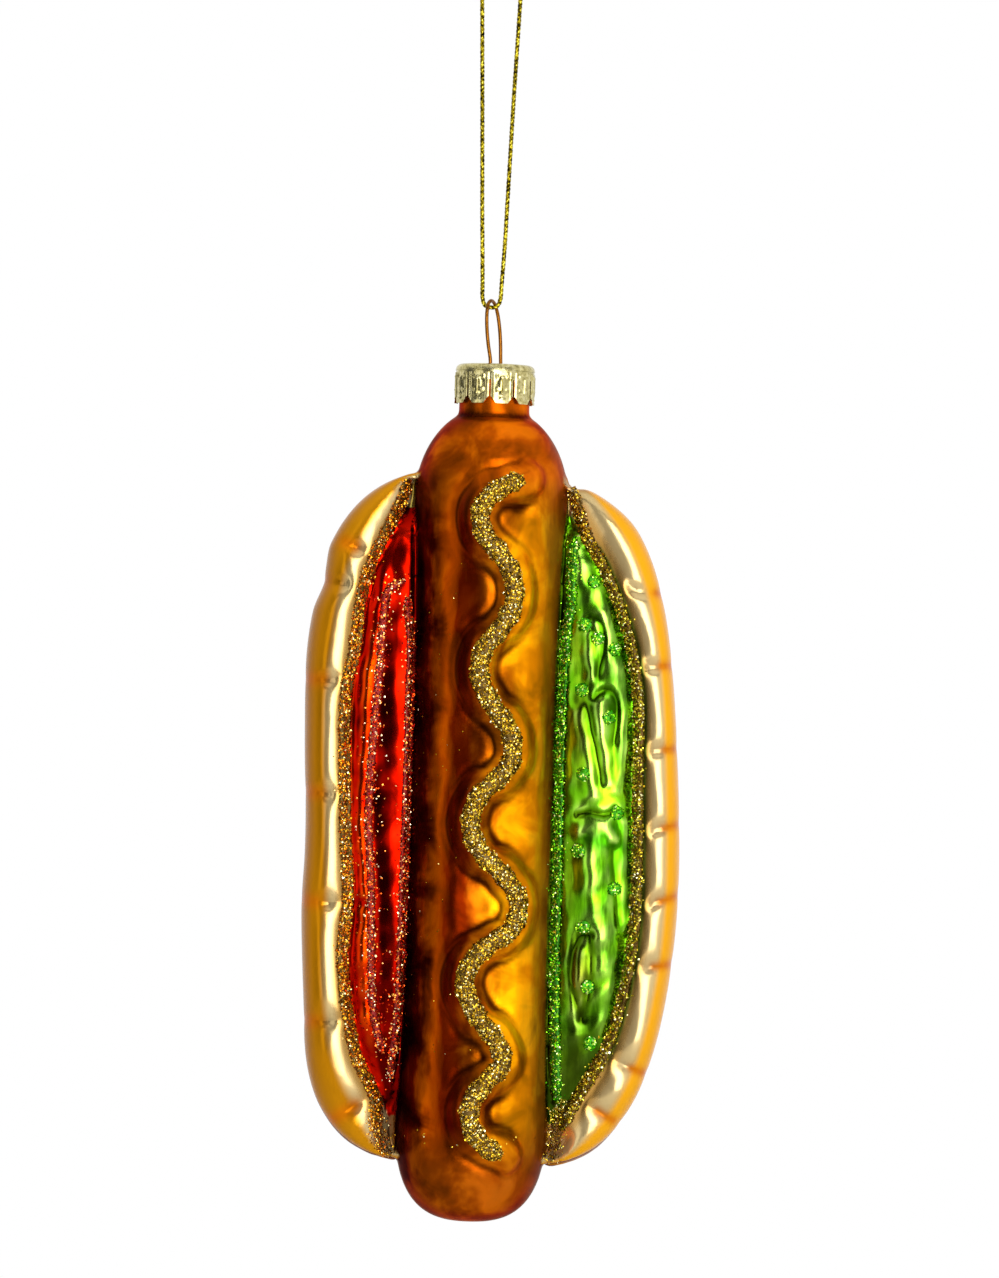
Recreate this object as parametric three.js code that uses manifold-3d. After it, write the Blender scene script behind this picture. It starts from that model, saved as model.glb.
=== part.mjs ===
// A blown-glass hot dog ornament, hanging from its metallic cord.
//
// Millimetres, +Z up, the decorated front towards -Y. The origin is where the cord's loop hangs.
// The glass is one hollow skin: a sausage with a neck, in a bun, between ketchup and lettuce.
// A stamped cap covers the neck. The hanger's legs spring outwards inside the neck and hold the cap.
// Mustard, seams and dots are beads of glue and glitter laid on the glass.

import * as THREE from "three";
import { mergeVertices } from "three/addons/utils/BufferGeometryUtils.js";
import Module from "manifold-3d";

const wasm = await Module();
wasm.setup();

// Gap between two pieces that touch, a wider one on the bends of the ridge, and how far a simpler skin strays
const seat = 0.3;
const ridgeSeat = 0.42;
const skinTolerance = 0.05;
const beadTolerance = 0.03;

// Cap of thin stamped metal. Heights on the ornament are counted down from its top
const capWall = 0.3;
const capRadius = 6;
const capSkirt = 6;
const capCorner = 0.9;
const capDome = 0.25;
const capSides = 40;
const holeSides = 12;
const cutThrough = 4;
const petals = 10;
const slitWidth = 0.35;
const slitHeight = 3.4;
const slitStart = 0.3;
const scallopRadius = 0.85;
const wireHoleRadius = 0.6;

// Sausage, with the neck above it
const glassWall = 0.9;
const neckTop = -(capDome + capWall + seat);
const neckGap = 0.4;
const neckRadius = capRadius - capWall - neckGap;
const creaseHeight = -7.8;
const sausageRadius = 11.45;
const sausageTop = -20;
const shoulderHeight = 13.8;
const sausageBottom = -112;
const tipHeight = 16.6;
const tipFullness = 2.8;

// Bun: a loaf that bulges a little to the right, with a rolled lip pinched by crimps along each edge
const bunTop = -15.9;
const bunMiddle = -67.9;
const bunBottom = -119.9;
const bunHalfWidth = 28.3;
const bunTopFullness = 3.3;
const bunBottomFullness = 3.7;
const bulge = 1.7;
const bulgeHeight = -77;
const bulgeSpread = 24;
const partingDepth = 1;
const bunBackDepth = 19;
const bunFrontDepth = 5;
const lipTop = -17;
const lipBottom = -118.6;
const lipDepth = 9.4;
const lipOverlap = 1.8;
const crimpDepth = 1.2;
const crimpHalfLength = 1.5;
const leftCrimps = [-32.9, -48, -65, -81, -99, -111];
const rightCrimps = [-33.5, -44.5, -57, -68.7, -79.4, -89.2, -104.5];

// Ketchup and lettuce: long mounds between the lips and the sausage
const moundOverlap = 1.8;
const moundFullness = 2.6;
const ketchupTop = -20.6;
const ketchupBottom = -113;
const ketchupDepth = 8.6;
const foldPitch = 3.6;
const foldHeight = 0.5;
const lettuceTop = -22.6;
const lettuceBottom = -113.5;
const lettuceDepth = 9;
const crinkleHeight = 0.6;
const crinklePitch = 13;

// Glitter beads and dots
const ridgeHalfWidth = 2.1;
const ridgeHeight = 1;
const mustardHalfWidth = 1.35;
const mustardHeight = 0.8;
const rimHalfWidth = 0.85;
const rimHeight = 0.75;
const seamHalfWidth = 0.75;
const seamHeight = 0.8;
const beadRoot = 1;
const mustardStep = 2;
const seamStep = 2.4;
const dotRadius = 1.1;

// Hanger of springy wire, its eye turned almost edge-on and leaning left
const wireRadius = 0.275;
const wireSides = 8;
const wireSteps = 50;
const eyeHeight = 9.43;
const eyeLean = 0.93;
const eyeTurn = THREE.MathUtils.degToRad(27);
const eyeHalfWidth = 2.1;
const footSpan = 1.7;
const legGap = 0.42;
const legSpread = neckRadius - glassWall - wireRadius - legGap;
const halfWire = [
  [legSpread - 1.2, -15.5], [legSpread - 0.5, -11.8], [legSpread, -7.6], [legSpread - 0.5, -3.8],
  [footSpan + 0.3, -1.3], [footSpan, 0.2], [eyeHalfWidth - 0.05, 3], [eyeHalfWidth, 5.4],
  [0.83 * eyeHalfWidth, eyeHeight - 1.85], [0.48 * eyeHalfWidth, eyeHeight - 0.43],
];

// Cord, threaded through the eye, its two ends tied in a knot
const cordRadius = 0.35;
const threadGap = 0.4;
const cordSides = 8;
const cordSteps = 70;
const knotHeight = 2.2;
const knotRadius = 1.05;
const knotWraps = 3;
const knotGroove = 0.19;
const knotEnd = 0.85;
const knotSides = 12;
const knotPlace = [-2.95, 0, -5];
const cordRoute = [
  [-2.95, -6.4], [-2.8, -10], [-2.55, -17.5], [-2.3, -25], [-2.05, -33], [-1.8, -41],
  [-1.55, -47.5], [-1.42, -51.5], [-1.34, -53.6], [-0.96, -54.6], [0, -54.95], [0.96, -54.6],
  [1.34, -53.6], [1.44, -51.5], [1.7, -46.5], [1.95, -38], [2.15, -31], [2.4, -22.5],
  [2.7, -14], [2.93, -7], [2.95, -2.9], [2.5, -1.05], [1.4, 0], [0, 0.35], [-1.4, 0],
  [-2.5, -1.05], [-2.93, -2.6], [-2.95, -3.6],
];
const bight = cordRoute[10];
const tails = [
  [[-3.3, 0.2, -4.6], [-5, 0.5, -3.6], [-7, 0.2, -3.2], [-8.8, -0.4, -2]],
  [[-3.3, -0.2, -5.3], [-5.2, -0.8, -5.2], [-7.4, -1, -5.6], [-9.2, -0.6, -5.2]],
];

// Width of the left and right lips, each with its height
const leftLipWidths = [
  [2.2, -17.8], [5.8, -20.6], [7.5, -25], [7.45, -30.2], [7.5, -36], [7.8, -43], [6.95, -49.7],
  [6.75, -60], [6.65, -70], [7.2, -80.5], [6.8, -88], [7.3, -95], [8.3, -104.2], [9.3, -109.6],
  [7.5, -114], [3.3, -118.4],
];
const rightLipWidths = [
  [3.6, -18.2], [7, -21.6], [8.45, -25.6], [7.95, -29.7], [7.05, -35.2], [6.15, -41.5],
  [5.7, -49.5], [6.3, -61], [6.55, -72], [6.5, -83.5], [6.8, -92], [7.45, -101.5], [8.85, -109],
  [8.2, -114], [3.4, -118.4],
];

// Glitter on the sausage: across and height. On the filling: share of the way to the lip, and height
const mustardLine = [
  [4.8, -17.5], [2.5, -18.3], [0, -20], [-1.5, -22.6], [-0.9, -25.6], [1.6, -28.6], [3.6, -32],
  [3.7, -36.5], [1.8, -40], [-0.4, -43], [-0.8, -47], [1.2, -51], [3.9, -55], [4.3, -59],
  [2.2, -62.1], [-0.3, -64.6], [-1.5, -69], [0.3, -73], [3.6, -76.2], [6, -80], [5.2, -84],
  [2, -86.4], [-0.8, -89.4], [-1.6, -92.6], [0.3, -97], [3.2, -100.6], [4.4, -104], [1.9, -107],
  [-0.1, -110], [0, -113.4], [2.1, -116.3], [4.8, -117.8],
];
const ketchupMiddleLine = [
  [0.17, -33], [0.47, -34.4], [0.52, -38.5], [0.5, -46], [0.54, -57], [0.6, -68], [0.57, -78],
  [0.5, -88], [0.48, -97], [0.35, -103.4],
];
const ketchupSeamLine = [
  [0.09, -35.4], [-0.02, -42], [-0.03, -50], [-0.03, -64], [-0.03, -80], [-0.02, -92],
  [0.04, -101], [0.23, -107.5],
];
const lettuceSeamLine = [
  [0.39, -25.6], [0.14, -31], [0.11, -35.5], [0.03, -41], [0, -50], [0, -65], [0.01, -78],
  [0.01, -88], [0.05, -98], [0.14, -105], [0.32, -110],
];
const lettuceDots = [
  [0.65, -32.2], [0.34, -38.7], [0.52, -40.7], [0.76, -42.2], [0.26, -48.4], [0.62, -52.4],
  [0.3, -60.9], [0.75, -66.5], [0.26, -72.4], [0.73, -77.9], [0.36, -83.7], [0.49, -92.6],
  [0.69, -101],
];

// Colours of glass, metal and glitter
const paint = {
  lacquer: { color: 0xb5651d, roughness: 0.35, metalness: 0.5 },
  cap: { color: 0xcdbd7e, roughness: 0.3, metalness: 1 },
  wire: { color: 0xa8682c, roughness: 0.3, metalness: 1 },
  cord: { color: 0xb9a21e, roughness: 0.4, metalness: 0.8 },
  gold: { color: 0xb8932f, roughness: 0.45, metalness: 0.8 },
  red: { color: 0xa8281a, roughness: 0.45, metalness: 0.8 },
  green: { color: 0x3f8a16, roughness: 0.45, metalness: 0.8 },
};

// Unit arch with a given fullness: 1 in the middle, 0 at a share of -1 or 1
const arch = (share, fullness) => Math.max(0, 1 - Math.abs(share) ** fullness) ** (1 / fullness);

// Smooth curve through [across, height] points, read at a height
function acrossAt(points) {
  const last = points.length - 1;
  const slopeAt = (i) => {
    const [a, b] = [points[Math.max(i - 1, 0)], points[Math.min(i + 1, last)]];
    return (b[0] - a[0]) / (b[1] - a[1]);
  };
  return (height) => {
    const z = THREE.MathUtils.clamp(height, points[last][1], points[0][1]);
    const i = Math.min(last - 1, points.findIndex((p, k) => k === last || z >= points[k + 1][1]));
    const [a, b] = [points[i], points[i + 1]];
    const span = b[1] - a[1];
    const t = (z - a[1]) / span;
    const turn = span * t * (1 - t) * (slopeAt(i) * (1 - t) - slopeAt(i + 1) * t);
    return a[0] + (b[0] - a[0]) * t * t * (3 - 2 * t) + turn;
  };
}

// Heights of the rings of a form, close together at its ends
function ringHeights(top, bottom, count) {
  const shares = Array.from({ length: count }, (_, i) => (1 - Math.cos((Math.PI * (i + 0.5)) / count)) / 2);
  return shares.map((share) => top + (bottom - top) * share);
}

// A lip has rings in and beside each crimp and between the crimps
function lipRings(crimps) {
  const stops = [lipTop - 2, ...crimps, lipBottom + 2];
  const pillows = stops.slice(1).map((stop, i) => (stop + stops[i]) / 2);
  const dents = crimps.flatMap((c) => [c + crimpHalfLength, c - crimpHalfLength]);
  return [lipTop - 0.4, ...stops, ...pillows, ...dents, lipBottom + 0.4].sort((a, b) => b - a);
}

// Dent of the crimps in a lip
const crimpRelief = (crimps) => (x, z) =>
  -crimpDepth * crimps.reduce((sum, c) => sum + Math.exp(-(((z - c) / crimpHalfLength) ** 2) * 2), 0);

function sausageRadiusAt(z) {
  if (z > creaseHeight) return neckRadius;
  if (z > sausageTop) return sausageRadius * arch((z - sausageTop) / shoulderHeight, 2);
  if (z < sausageBottom) return sausageRadius * arch((z - sausageBottom) / tipHeight, tipFullness);
  return sausageRadius;
}

function bunSwell(z) {
  if (z > bunMiddle) return arch((z - bunMiddle) / (bunTop - bunMiddle), bunTopFullness);
  return arch((z - bunMiddle) / (bunBottom - bunMiddle), bunBottomFullness);
}
const bunShift = (z) => bulge * Math.exp(-(((z - bulgeHeight) / bulgeSpread) ** 2));
const bunLeft = (z) => bunShift(z) - bunHalfWidth * bunSwell(z);
const bunRight = (z) => bunShift(z) + bunHalfWidth * bunSwell(z);
const leftLipWidth = acrossAt(leftLipWidths);
const rightLipWidth = acrossAt(rightLipWidths);
const leftRim = (z) => bunLeft(z) + leftLipWidth(z);
const rightRim = (z) => bunRight(z) - rightLipWidth(z);
const overKetchup = ([share, z]) => [share * leftRim(z) - (1 - share) * sausageRadius, z];
const overLettuce = ([share, z]) => [share * rightRim(z) + (1 - share) * sausageRadius, z];
const besideRim = ([x, z]) => [Math.min(x, rightRim(z) - rimHalfWidth - dotRadius - seat), z];
const moundSwell = (top, bottom) => (z) => arch((2 * z - top - bottom) / (top - bottom), moundFullness);
const ketchupSwell = moundSwell(ketchupTop, ketchupBottom);
const lettuceSwell = moundSwell(lettuceTop, lettuceBottom);

// Forms that the glass is blown into: each is a stack of arched sections from a left to a right edge
const forms = {
  sausage: {
    top: neckTop,
    bottom: sausageBottom - tipHeight,
    middle: 0,
    left: (z) => -sausageRadiusAt(z),
    right: sausageRadiusAt,
    front: sausageRadiusAt,
    back: sausageRadiusAt,
    fullness: 2,
    steps: [14, 8],
    rings: [
      neckTop, creaseHeight + 0.2, ...ringHeights(creaseHeight, sausageTop, 6),
      ...ringHeights(sausageTop, sausageBottom, 5),
      ...ringHeights(sausageBottom, sausageBottom - tipHeight, 8),
    ],
  },
  loaf: {
    top: bunTop,
    bottom: bunBottom,
    middle: partingDepth,
    left: bunLeft,
    right: bunRight,
    front: (z) => bunFrontDepth * bunSwell(z),
    back: (z) => bunBackDepth * bunSwell(z),
    fullness: 2.2,
    steps: [6, 16],
    rings: ringHeights(bunTop, bunBottom, 20),
  },
  leftLip: {
    top: lipTop,
    bottom: lipBottom,
    middle: partingDepth,
    left: bunLeft,
    right: (z) => leftRim(z) + lipOverlap * bunSwell(z),
    front: (z) => lipDepth * bunSwell(z),
    back: (z) => bunFrontDepth * bunSwell(z),
    fullness: 2.2,
    relief: crimpRelief(leftCrimps),
    reliefDepth: crimpDepth,
    steps: [10, 4],
    rings: lipRings(leftCrimps),
  },
  rightLip: {
    top: lipTop,
    bottom: lipBottom,
    middle: partingDepth,
    left: (z) => rightRim(z) - lipOverlap * bunSwell(z),
    right: bunRight,
    front: (z) => lipDepth * bunSwell(z),
    back: (z) => bunFrontDepth * bunSwell(z),
    fullness: 2.2,
    relief: crimpRelief(rightCrimps),
    reliefDepth: crimpDepth,
    steps: [10, 4],
    rings: lipRings(rightCrimps),
  },
  ketchup: {
    top: ketchupTop,
    bottom: ketchupBottom,
    middle: partingDepth,
    left: (z) => leftRim(z) - moundOverlap,
    right: () => moundOverlap - sausageRadius,
    front: (z) => ketchupDepth * ketchupSwell(z),
    back: (z) => bunFrontDepth * ketchupSwell(z),
    fullness: 2.4,
    relief: (x, z) => foldHeight * Math.cos((2 * Math.PI * (x + Math.sin(z / 11))) / foldPitch),
    reliefDepth: foldHeight,
    steps: [16, 4],
    rings: ringHeights(ketchupTop, ketchupBottom, 18),
  },
  lettuce: {
    top: lettuceTop,
    bottom: lettuceBottom,
    middle: partingDepth,
    left: () => sausageRadius - moundOverlap,
    right: (z) => rightRim(z) + moundOverlap,
    front: (z) => lettuceDepth * lettuceSwell(z),
    back: (z) => bunFrontDepth * lettuceSwell(z),
    fullness: 2.4,
    relief: (x, z) =>
      crinkleHeight * Math.sin((2 * Math.PI * (z + 2 * x)) / crinklePitch) * Math.cos(x * 1.1),
    reliefDepth: crinkleHeight,
    steps: [14, 4],
    rings: ringHeights(lettuceTop, lettuceBottom, 24),
  },
};

function geometryOf(points, triangles) {
  return new THREE.BufferGeometry()
    .setAttribute("position", new THREE.Float32BufferAttribute(points.flat(), 3))
    .setIndex(triangles);
}

function geometryFrom(solid) {
  const { vertProperties, triVerts } = solid.getMesh();
  return new THREE.BufferGeometry()
    .setAttribute("position", new THREE.BufferAttribute(new Float32Array(vertProperties), 3))
    .setIndex(new THREE.BufferAttribute(new Uint32Array(triVerts), 1));
}

// Solid from a geometry, turned outside out where its triangles face inwards
function solidOf(geometry) {
  for (const name of ["normal", "uv"]) geometry.deleteAttribute(name);
  const merged = mergeVertices(geometry, 1e-4);
  const mesh = (flip) => {
    const triVerts = new Uint32Array(merged.index.array);
    for (let i = 0; flip && i < triVerts.length; i += 3)
      [triVerts[i], triVerts[i + 1]] = [triVerts[i + 1], triVerts[i]];
    const vertProperties = new Float32Array(merged.attributes.position.array);
    return new wasm.Manifold(new wasm.Mesh({ numProp: 3, vertProperties, triVerts }));
  };
  const solid = mesh(false);
  return solid.volume() > 0 ? solid : mesh(true);
}

// Closed surface over rings of points, with a point that closes each end
function skinOf(rings, start, end) {
  const around = rings[0].length;
  const points = [...rings.flat(), start, end];
  const triangles = [];
  const lastRing = (rings.length - 1) * around;
  for (let i = 0; i < around; i++) {
    const next = (i + 1) % around;
    triangles.push(points.length - 2, next, i, points.length - 1, lastRing + i, lastRing + next);
    for (let ring = 0; ring < lastRing; ring += around) {
      const [a, b, c, d] = [ring + i, ring + next, ring + around + i, ring + around + next];
      triangles.push(a, b, c, b, d, c);
    }
  }
  return solidOf(geometryOf(points, triangles));
}

// One section of a form, its edges moved inwards by inset
function sectionOf(form, z, inset, steps) {
  const [left, right] = [form.left(z) + inset, form.right(z) - inset];
  const deeper = inset > 0 ? inset + (form.reliefDepth ?? 0) : inset;
  const point = (share, side) => {
    const x = (left + right + share * (right - left)) / 2;
    const relief = form.relief && inset <= 0 ? form.relief(x, z) : 0;
    const reach = side < 0 ? form.front(z) - deeper + relief : form.back(z) - inset;
    return [x, form.middle + side * Math.max(reach, 0.05) * arch(share, form.fullness), z];
  };
  const [frontSteps, backSteps] = steps;
  const shares = (count) => Array.from({ length: count }, (_, i) => -Math.cos((Math.PI * i) / count));
  return [
    ...shares(frontSteps).map((share) => point(share, -1)),
    ...shares(backSteps).map((share) => point(-share, 1)),
  ];
}

// A form as a solid: its own skin, a skin grown by a negative inset, or the hollow within it
function formSolid(form, inset) {
  const hollow = inset > 0;
  const steps = hollow ? form.steps.map((count) => Math.max(4, Math.round(count / 2))) : form.steps;
  const isNeck = form.top === neckTop;
  const rings = form.rings
    .filter((z, i) => !hollow || i % 2 === 0)
    .filter((z) => isNeck || z <= form.top - 2 * inset)
    .filter((z) => z > form.bottom + 2 * inset)
    .filter((z) => form.right(z) - form.left(z) > 2.5 * inset)
    .map((z) => (hollow && z === neckTop ? z + seat : z));
  const sections = rings.map((z) => sectionOf(form, z, inset, steps));
  const closing = (section, z) => [(section[0][0] + section[steps[0]][0]) / 2, form.middle, z];
  const topEnd = isNeck ? rings[0] : Math.min(form.top - inset, rings[0] + 1);
  const bottomEnd = Math.max(form.bottom + inset, rings.at(-1) - 1);
  return skinOf(sections, closing(sections[0], topEnd), closing(sections.at(-1), bottomEnd));
}

// A bead along [across, height] points: a strip whose rounded top stands on the ground it follows
function beadSolid(line, halfWidth, height, ground, step) {
  const curve = new THREE.SplineCurve(line.map(([x, z]) => new THREE.Vector2(x, z)));
  const steps = Math.round(curve.getLength() / step);
  const section = [[-1, 0], [-0.65, 0.75], [0, 1], [0.65, 0.75], [1, 0]];
  const rings = [];
  for (let i = 0; i <= steps; i++) {
    const [place, along] = [curve.getPointAt(i / steps), curve.getTangentAt(i / steps)];
    const taper = i === 0 || i === steps ? 0.5 : 1;
    const at = (share, rise) => {
      const side = share * halfWidth * taper;
      const [x, z] = [place.x - along.y * side, place.y + along.x * side];
      return [x, ground(x, z) + (rise > 0 ? -height * rise * taper : beadRoot), z];
    };
    rings.push([...section.map(([share, rise]) => at(share, rise)), at(0, 0)]);
  }
  const closing = (ring) => [0, 1, 2].map((axis) => (ring[2][axis] + ring[5][axis]) / 2);
  return skinOf(rings, closing(rings[0]), closing(rings.at(-1)));
}

// Reads the depth of a solid's front at a place
function frontOf(solid) {
  const target = new THREE.Mesh(geometryFrom(solid), new THREE.MeshBasicMaterial({ side: THREE.DoubleSide }));
  const ray = new THREE.Raycaster();
  return (x, z) => {
    ray.set(new THREE.Vector3(x, -2 * bunHalfWidth, z), new THREE.Vector3(0, 1, 0));
    const [hit] = ray.intersectObject(target);
    return hit ? hit.point.y : partingDepth;
  };
}

// Round rod along points
function rodSolid(points, radius, sides, steps) {
  const circle = new THREE.Shape(
    Array.from({ length: sides }, (_, i) => {
      const angle = (2 * Math.PI * i) / sides;
      return new THREE.Vector2(radius * Math.cos(angle), radius * Math.sin(angle));
    }),
  );
  const extrudePath = new THREE.CatmullRomCurve3(points, false, "centripetal");
  return solidOf(new THREE.ExtrudeGeometry(circle, { steps, bevelEnabled: false, extrudePath }));
}

// Profile of [radius, height] points turned about an upright axis
function turned(profile, segments) {
  const outline = profile.map(([r, z]) => new THREE.Vector2(r, z));
  return new THREE.LatheGeometry(outline, segments).rotateX(Math.PI / 2);
}

const group = new THREE.Group();
group.name = "hot_dog_ornament";

function add(name, solid, finish, parent = group) {
  const mesh = new THREE.Mesh(geometryFrom(solid), new THREE.MeshStandardMaterial(paint[finish]));
  mesh.name = name;
  parent.add(mesh);
}

// The ornament below the hanger keeps its own heights: 0 is the cap's top
const ornament = new THREE.Group();
const apexAboveBight = cordRadius + wireRadius + threadGap;
ornament.position.set(eyeLean, 0, bight[1] + apexAboveBight - eyeHeight);
group.add(ornament);

// Glass: the forms' common skin with the squiggle's ridge, hollowed and open at the neck
const outer = wasm.Manifold.union(Object.values(forms).map((form) => formSolid(form, 0)));
const hollow = wasm.Manifold.union(Object.values(forms).map((form) => formSolid(form, glassWall)));
const frontOfOuter = frontOf(outer);
const ridge = beadSolid(mustardLine, ridgeHalfWidth, ridgeHeight, frontOfOuter, mustardStep);
add("glass_body", outer.add(ridge).subtract(hollow).simplify(skinTolerance), "lacquer", ornament);

// Glitter lies on the glass's skin grown by the seat
const grown = wasm.Manifold.union(Object.values(forms).map((form) => formSolid(form, -seat)));
const frontOfGrown = frontOf(grown);
const grownRidge = beadSolid(
  mustardLine, ridgeHalfWidth + 2 * seat, ridgeHeight + ridgeSeat, frontOfOuter, mustardStep,
);
const ridged = grown.add(grownRidge);
const mustard = beadSolid(mustardLine, mustardHalfWidth, mustardHeight, frontOf(ridged), mustardStep);
add("mustard_glitter", mustard.subtract(ridged).simplify(beadTolerance), "gold", ornament);
const leftRimLine = leftLipWidths.slice(0, -1).map(([, z]) => [leftRim(z), z]);
const rightRimLine = rightLipWidths.slice(0, -1).map(([, z]) => [rightRim(z), z]);
const seams = [
  ["left_rim_glitter", leftRimLine, rimHalfWidth, rimHeight, "gold"],
  ["right_rim_glitter", rightRimLine, rimHalfWidth, rimHeight, "gold"],
  ["ketchup_middle_glitter", ketchupMiddleLine.map(overKetchup), seamHalfWidth, seamHeight, "red"],
  ["ketchup_seam_glitter", ketchupSeamLine.map(overKetchup), seamHalfWidth, seamHeight, "red"],
  ["lettuce_seam_glitter", lettuceSeamLine.map(overLettuce), seamHalfWidth, seamHeight, "green"],
];
for (const [name, line, halfWidth, height, finish] of seams) {
  const bead = beadSolid(line, halfWidth, height, frontOfGrown, seamStep);
  add(name, bead.subtract(grown).simplify(beadTolerance), finish, ornament);
}
lettuceDots.map(overLettuce).map(besideRim).forEach(([x, z], i) => {
  const ball = new THREE.IcosahedronGeometry(dotRadius, 1).translate(x, frontOfGrown(x, z), z);
  add(`lettuce_dot_${i + 1}`, solidOf(ball).subtract(grown).simplify(beadTolerance), "green", ornament);
});

// Cap: a domed cup whose skirt is slit into rounded petals, with two holes for the wire
const capInner = capRadius - capWall;
const bevel = capCorner * (1 - Math.SQRT1_2);
const capShell = solidOf(
  turned(
    [
      [0, 0], [capRadius - capCorner, -capDome], [capRadius - bevel, -capDome - bevel],
      [capRadius, -capDome - capCorner], [capRadius, -capSkirt], [capInner, -capSkirt],
      [capInner, -capDome - capCorner], [capInner - bevel / 2, -capDome - capWall - bevel / 2],
      [capRadius - capCorner, -capDome - capWall], [0, -capWall], [0, 0],
    ],
    capSides,
  ),
);
const cuts = [-1, 1].map((side) =>
  solidOf(
    new THREE.CylinderGeometry(wireHoleRadius, wireHoleRadius, cutThrough, holeSides)
      .rotateX(Math.PI / 2)
      .translate(side * footSpan * Math.sin(eyeTurn), side * footSpan * Math.cos(eyeTurn), 0),
  ),
);
for (let i = 0; i < petals; i++) {
  const turn = (2 * Math.PI * (i + slitStart)) / petals;
  const slit = new THREE.BoxGeometry(cutThrough, slitWidth, slitHeight)
    .translate(capRadius, 0, slitHeight / 2 - capSkirt);
  const scallop = new THREE.CylinderGeometry(scallopRadius, scallopRadius, cutThrough, holeSides)
    .rotateZ(Math.PI / 2)
    .translate(capRadius, 0, -capSkirt);
  cuts.push(solidOf(slit.rotateZ(turn)), solidOf(scallop.rotateZ(turn)));
}
add("cap", capShell.subtract(wasm.Manifold.union(cuts)), "cap", ornament);

// Hanger: one wire from a leg's tip through the cap, round the eye and back
const wirePoint = ([across, z]) =>
  new THREE.Vector3(
    across * Math.sin(eyeTurn) - (Math.max(z, 0) / eyeHeight) * eyeLean, across * Math.cos(eyeTurn), z,
  );
const wireLine = [...halfWire.map(([a, z]) => [-a, z]), [0, eyeHeight], ...halfWire.toReversed()];
add("hanger_wire", rodSolid(wireLine.map(wirePoint), wireRadius, wireSides, wireSteps), "wire", ornament);

// Cord and its knot, with two cut tails
const cordPoints = cordRoute.map(([x, z]) => new THREE.Vector3(x, 0, z));
add("cord", rodSolid(cordPoints, cordRadius, cordSides, cordSteps), "cord");
const knotProfile = [[0, -knotHeight / 2]];
for (let i = 0; i <= 4 * knotWraps; i++) {
  const share = i / (4 * knotWraps);
  const groove = knotGroove * (1 - Math.abs(Math.sin(Math.PI * knotWraps * share)));
  const radius = (knotRadius - groove) * arch((2 * share - 1) * knotEnd, 2.5);
  knotProfile.push([radius, knotHeight * (share - 0.5)]);
}
knotProfile.push([0, knotHeight / 2], [0, -knotHeight / 2]);
const tailRods = tails.map((tail) =>
  rodSolid(tail.map((p) => new THREE.Vector3(...p)), cordRadius, cordSides, 4),
);
const knotCore = solidOf(turned(knotProfile, knotSides).translate(...knotPlace));
add("cord_knot", knotCore.add(tailRods[0]).add(tailRods[1]), "cord");

export default group;
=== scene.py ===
# %% [markdown]
# A hanging glass ornament in the shape of a hot dog, dressed on its CAD frame.
# The real one is blown into a mould as one hollow skin, silvered inside, painted outside with
# see-through lacquers, and trimmed with lines of glue and glitter. A stamped cap, a sprung wire
# and a cord of metal thread hang it up. This lesson makes each of these in the order in which
# they hang, from the cord down.

# %% Load the frame
import math
import bpy
import numpy as np
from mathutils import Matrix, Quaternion, Vector
from mathutils.bvhtree import BVHTree


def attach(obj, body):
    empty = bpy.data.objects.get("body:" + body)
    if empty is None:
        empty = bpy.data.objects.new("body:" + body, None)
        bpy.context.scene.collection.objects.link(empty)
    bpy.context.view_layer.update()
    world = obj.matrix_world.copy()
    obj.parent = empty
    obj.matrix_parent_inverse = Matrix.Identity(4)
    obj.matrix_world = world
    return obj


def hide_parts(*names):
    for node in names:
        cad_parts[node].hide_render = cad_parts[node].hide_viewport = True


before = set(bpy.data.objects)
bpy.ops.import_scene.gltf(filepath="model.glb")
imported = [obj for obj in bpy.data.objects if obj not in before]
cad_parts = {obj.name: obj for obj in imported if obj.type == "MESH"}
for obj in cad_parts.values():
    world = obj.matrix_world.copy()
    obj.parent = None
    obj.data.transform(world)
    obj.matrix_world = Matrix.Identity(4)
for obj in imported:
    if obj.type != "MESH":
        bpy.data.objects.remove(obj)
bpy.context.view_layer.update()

print("CAD nodes:", len(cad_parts))

# %% [markdown]
# The scene is in metres and starts where the cord hangs. An ornament is easier to think of in
# millimetres counted down from its cap, so every piece is modelled in those and settled into
# place as its last step.

# %% Units and helpers
MM = 0.001
CORD_TOP = np.array([0.0, 0.0, 0.0])
CAP_TOP = np.array([0.93, 0.0, -63.355])


def nothing_selected():
    if bpy.context.mode != "OBJECT":
        bpy.ops.object.mode_set(mode="OBJECT")
    bpy.ops.object.select_all(action="DESELECT")


def only(*pieces):
    nothing_selected()
    for piece in pieces:
        piece.select_set(True)
    bpy.context.view_layer.objects.active = pieces[0]


def started(name):
    piece = bpy.context.object
    piece.name = piece.data.name = name
    return piece


def linked(name, data):
    piece = bpy.data.objects.new(name, data)
    bpy.context.scene.collection.objects.link(piece)
    return piece


def rows_of(items, what):
    """A place or a direction of each point or face of a mesh."""
    flat = np.empty(len(items) * 3, dtype=np.float32)
    items.foreach_get(what, flat)
    return flat.reshape(-1, 3).astype(float)


def points_of(piece):
    return rows_of(piece.data.vertices, "co")


def put_points(piece, points):
    piece.data.vertices.foreach_set("co", np.asarray(points, dtype=np.float32).ravel())
    piece.data.update()


def whole(piece, tool, **settings):
    """Uses a mesh tool on the whole of a piece."""
    only(piece)
    bpy.ops.object.mode_set(mode="EDIT")
    bpy.ops.mesh.select_all(action="SELECT")
    tool(**settings)
    bpy.ops.object.mode_set(mode="OBJECT")


def finish_modifiers(piece):
    only(piece)
    for modifier in list(piece.modifiers):
        bpy.ops.object.modifier_apply(modifier=modifier.name)


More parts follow.
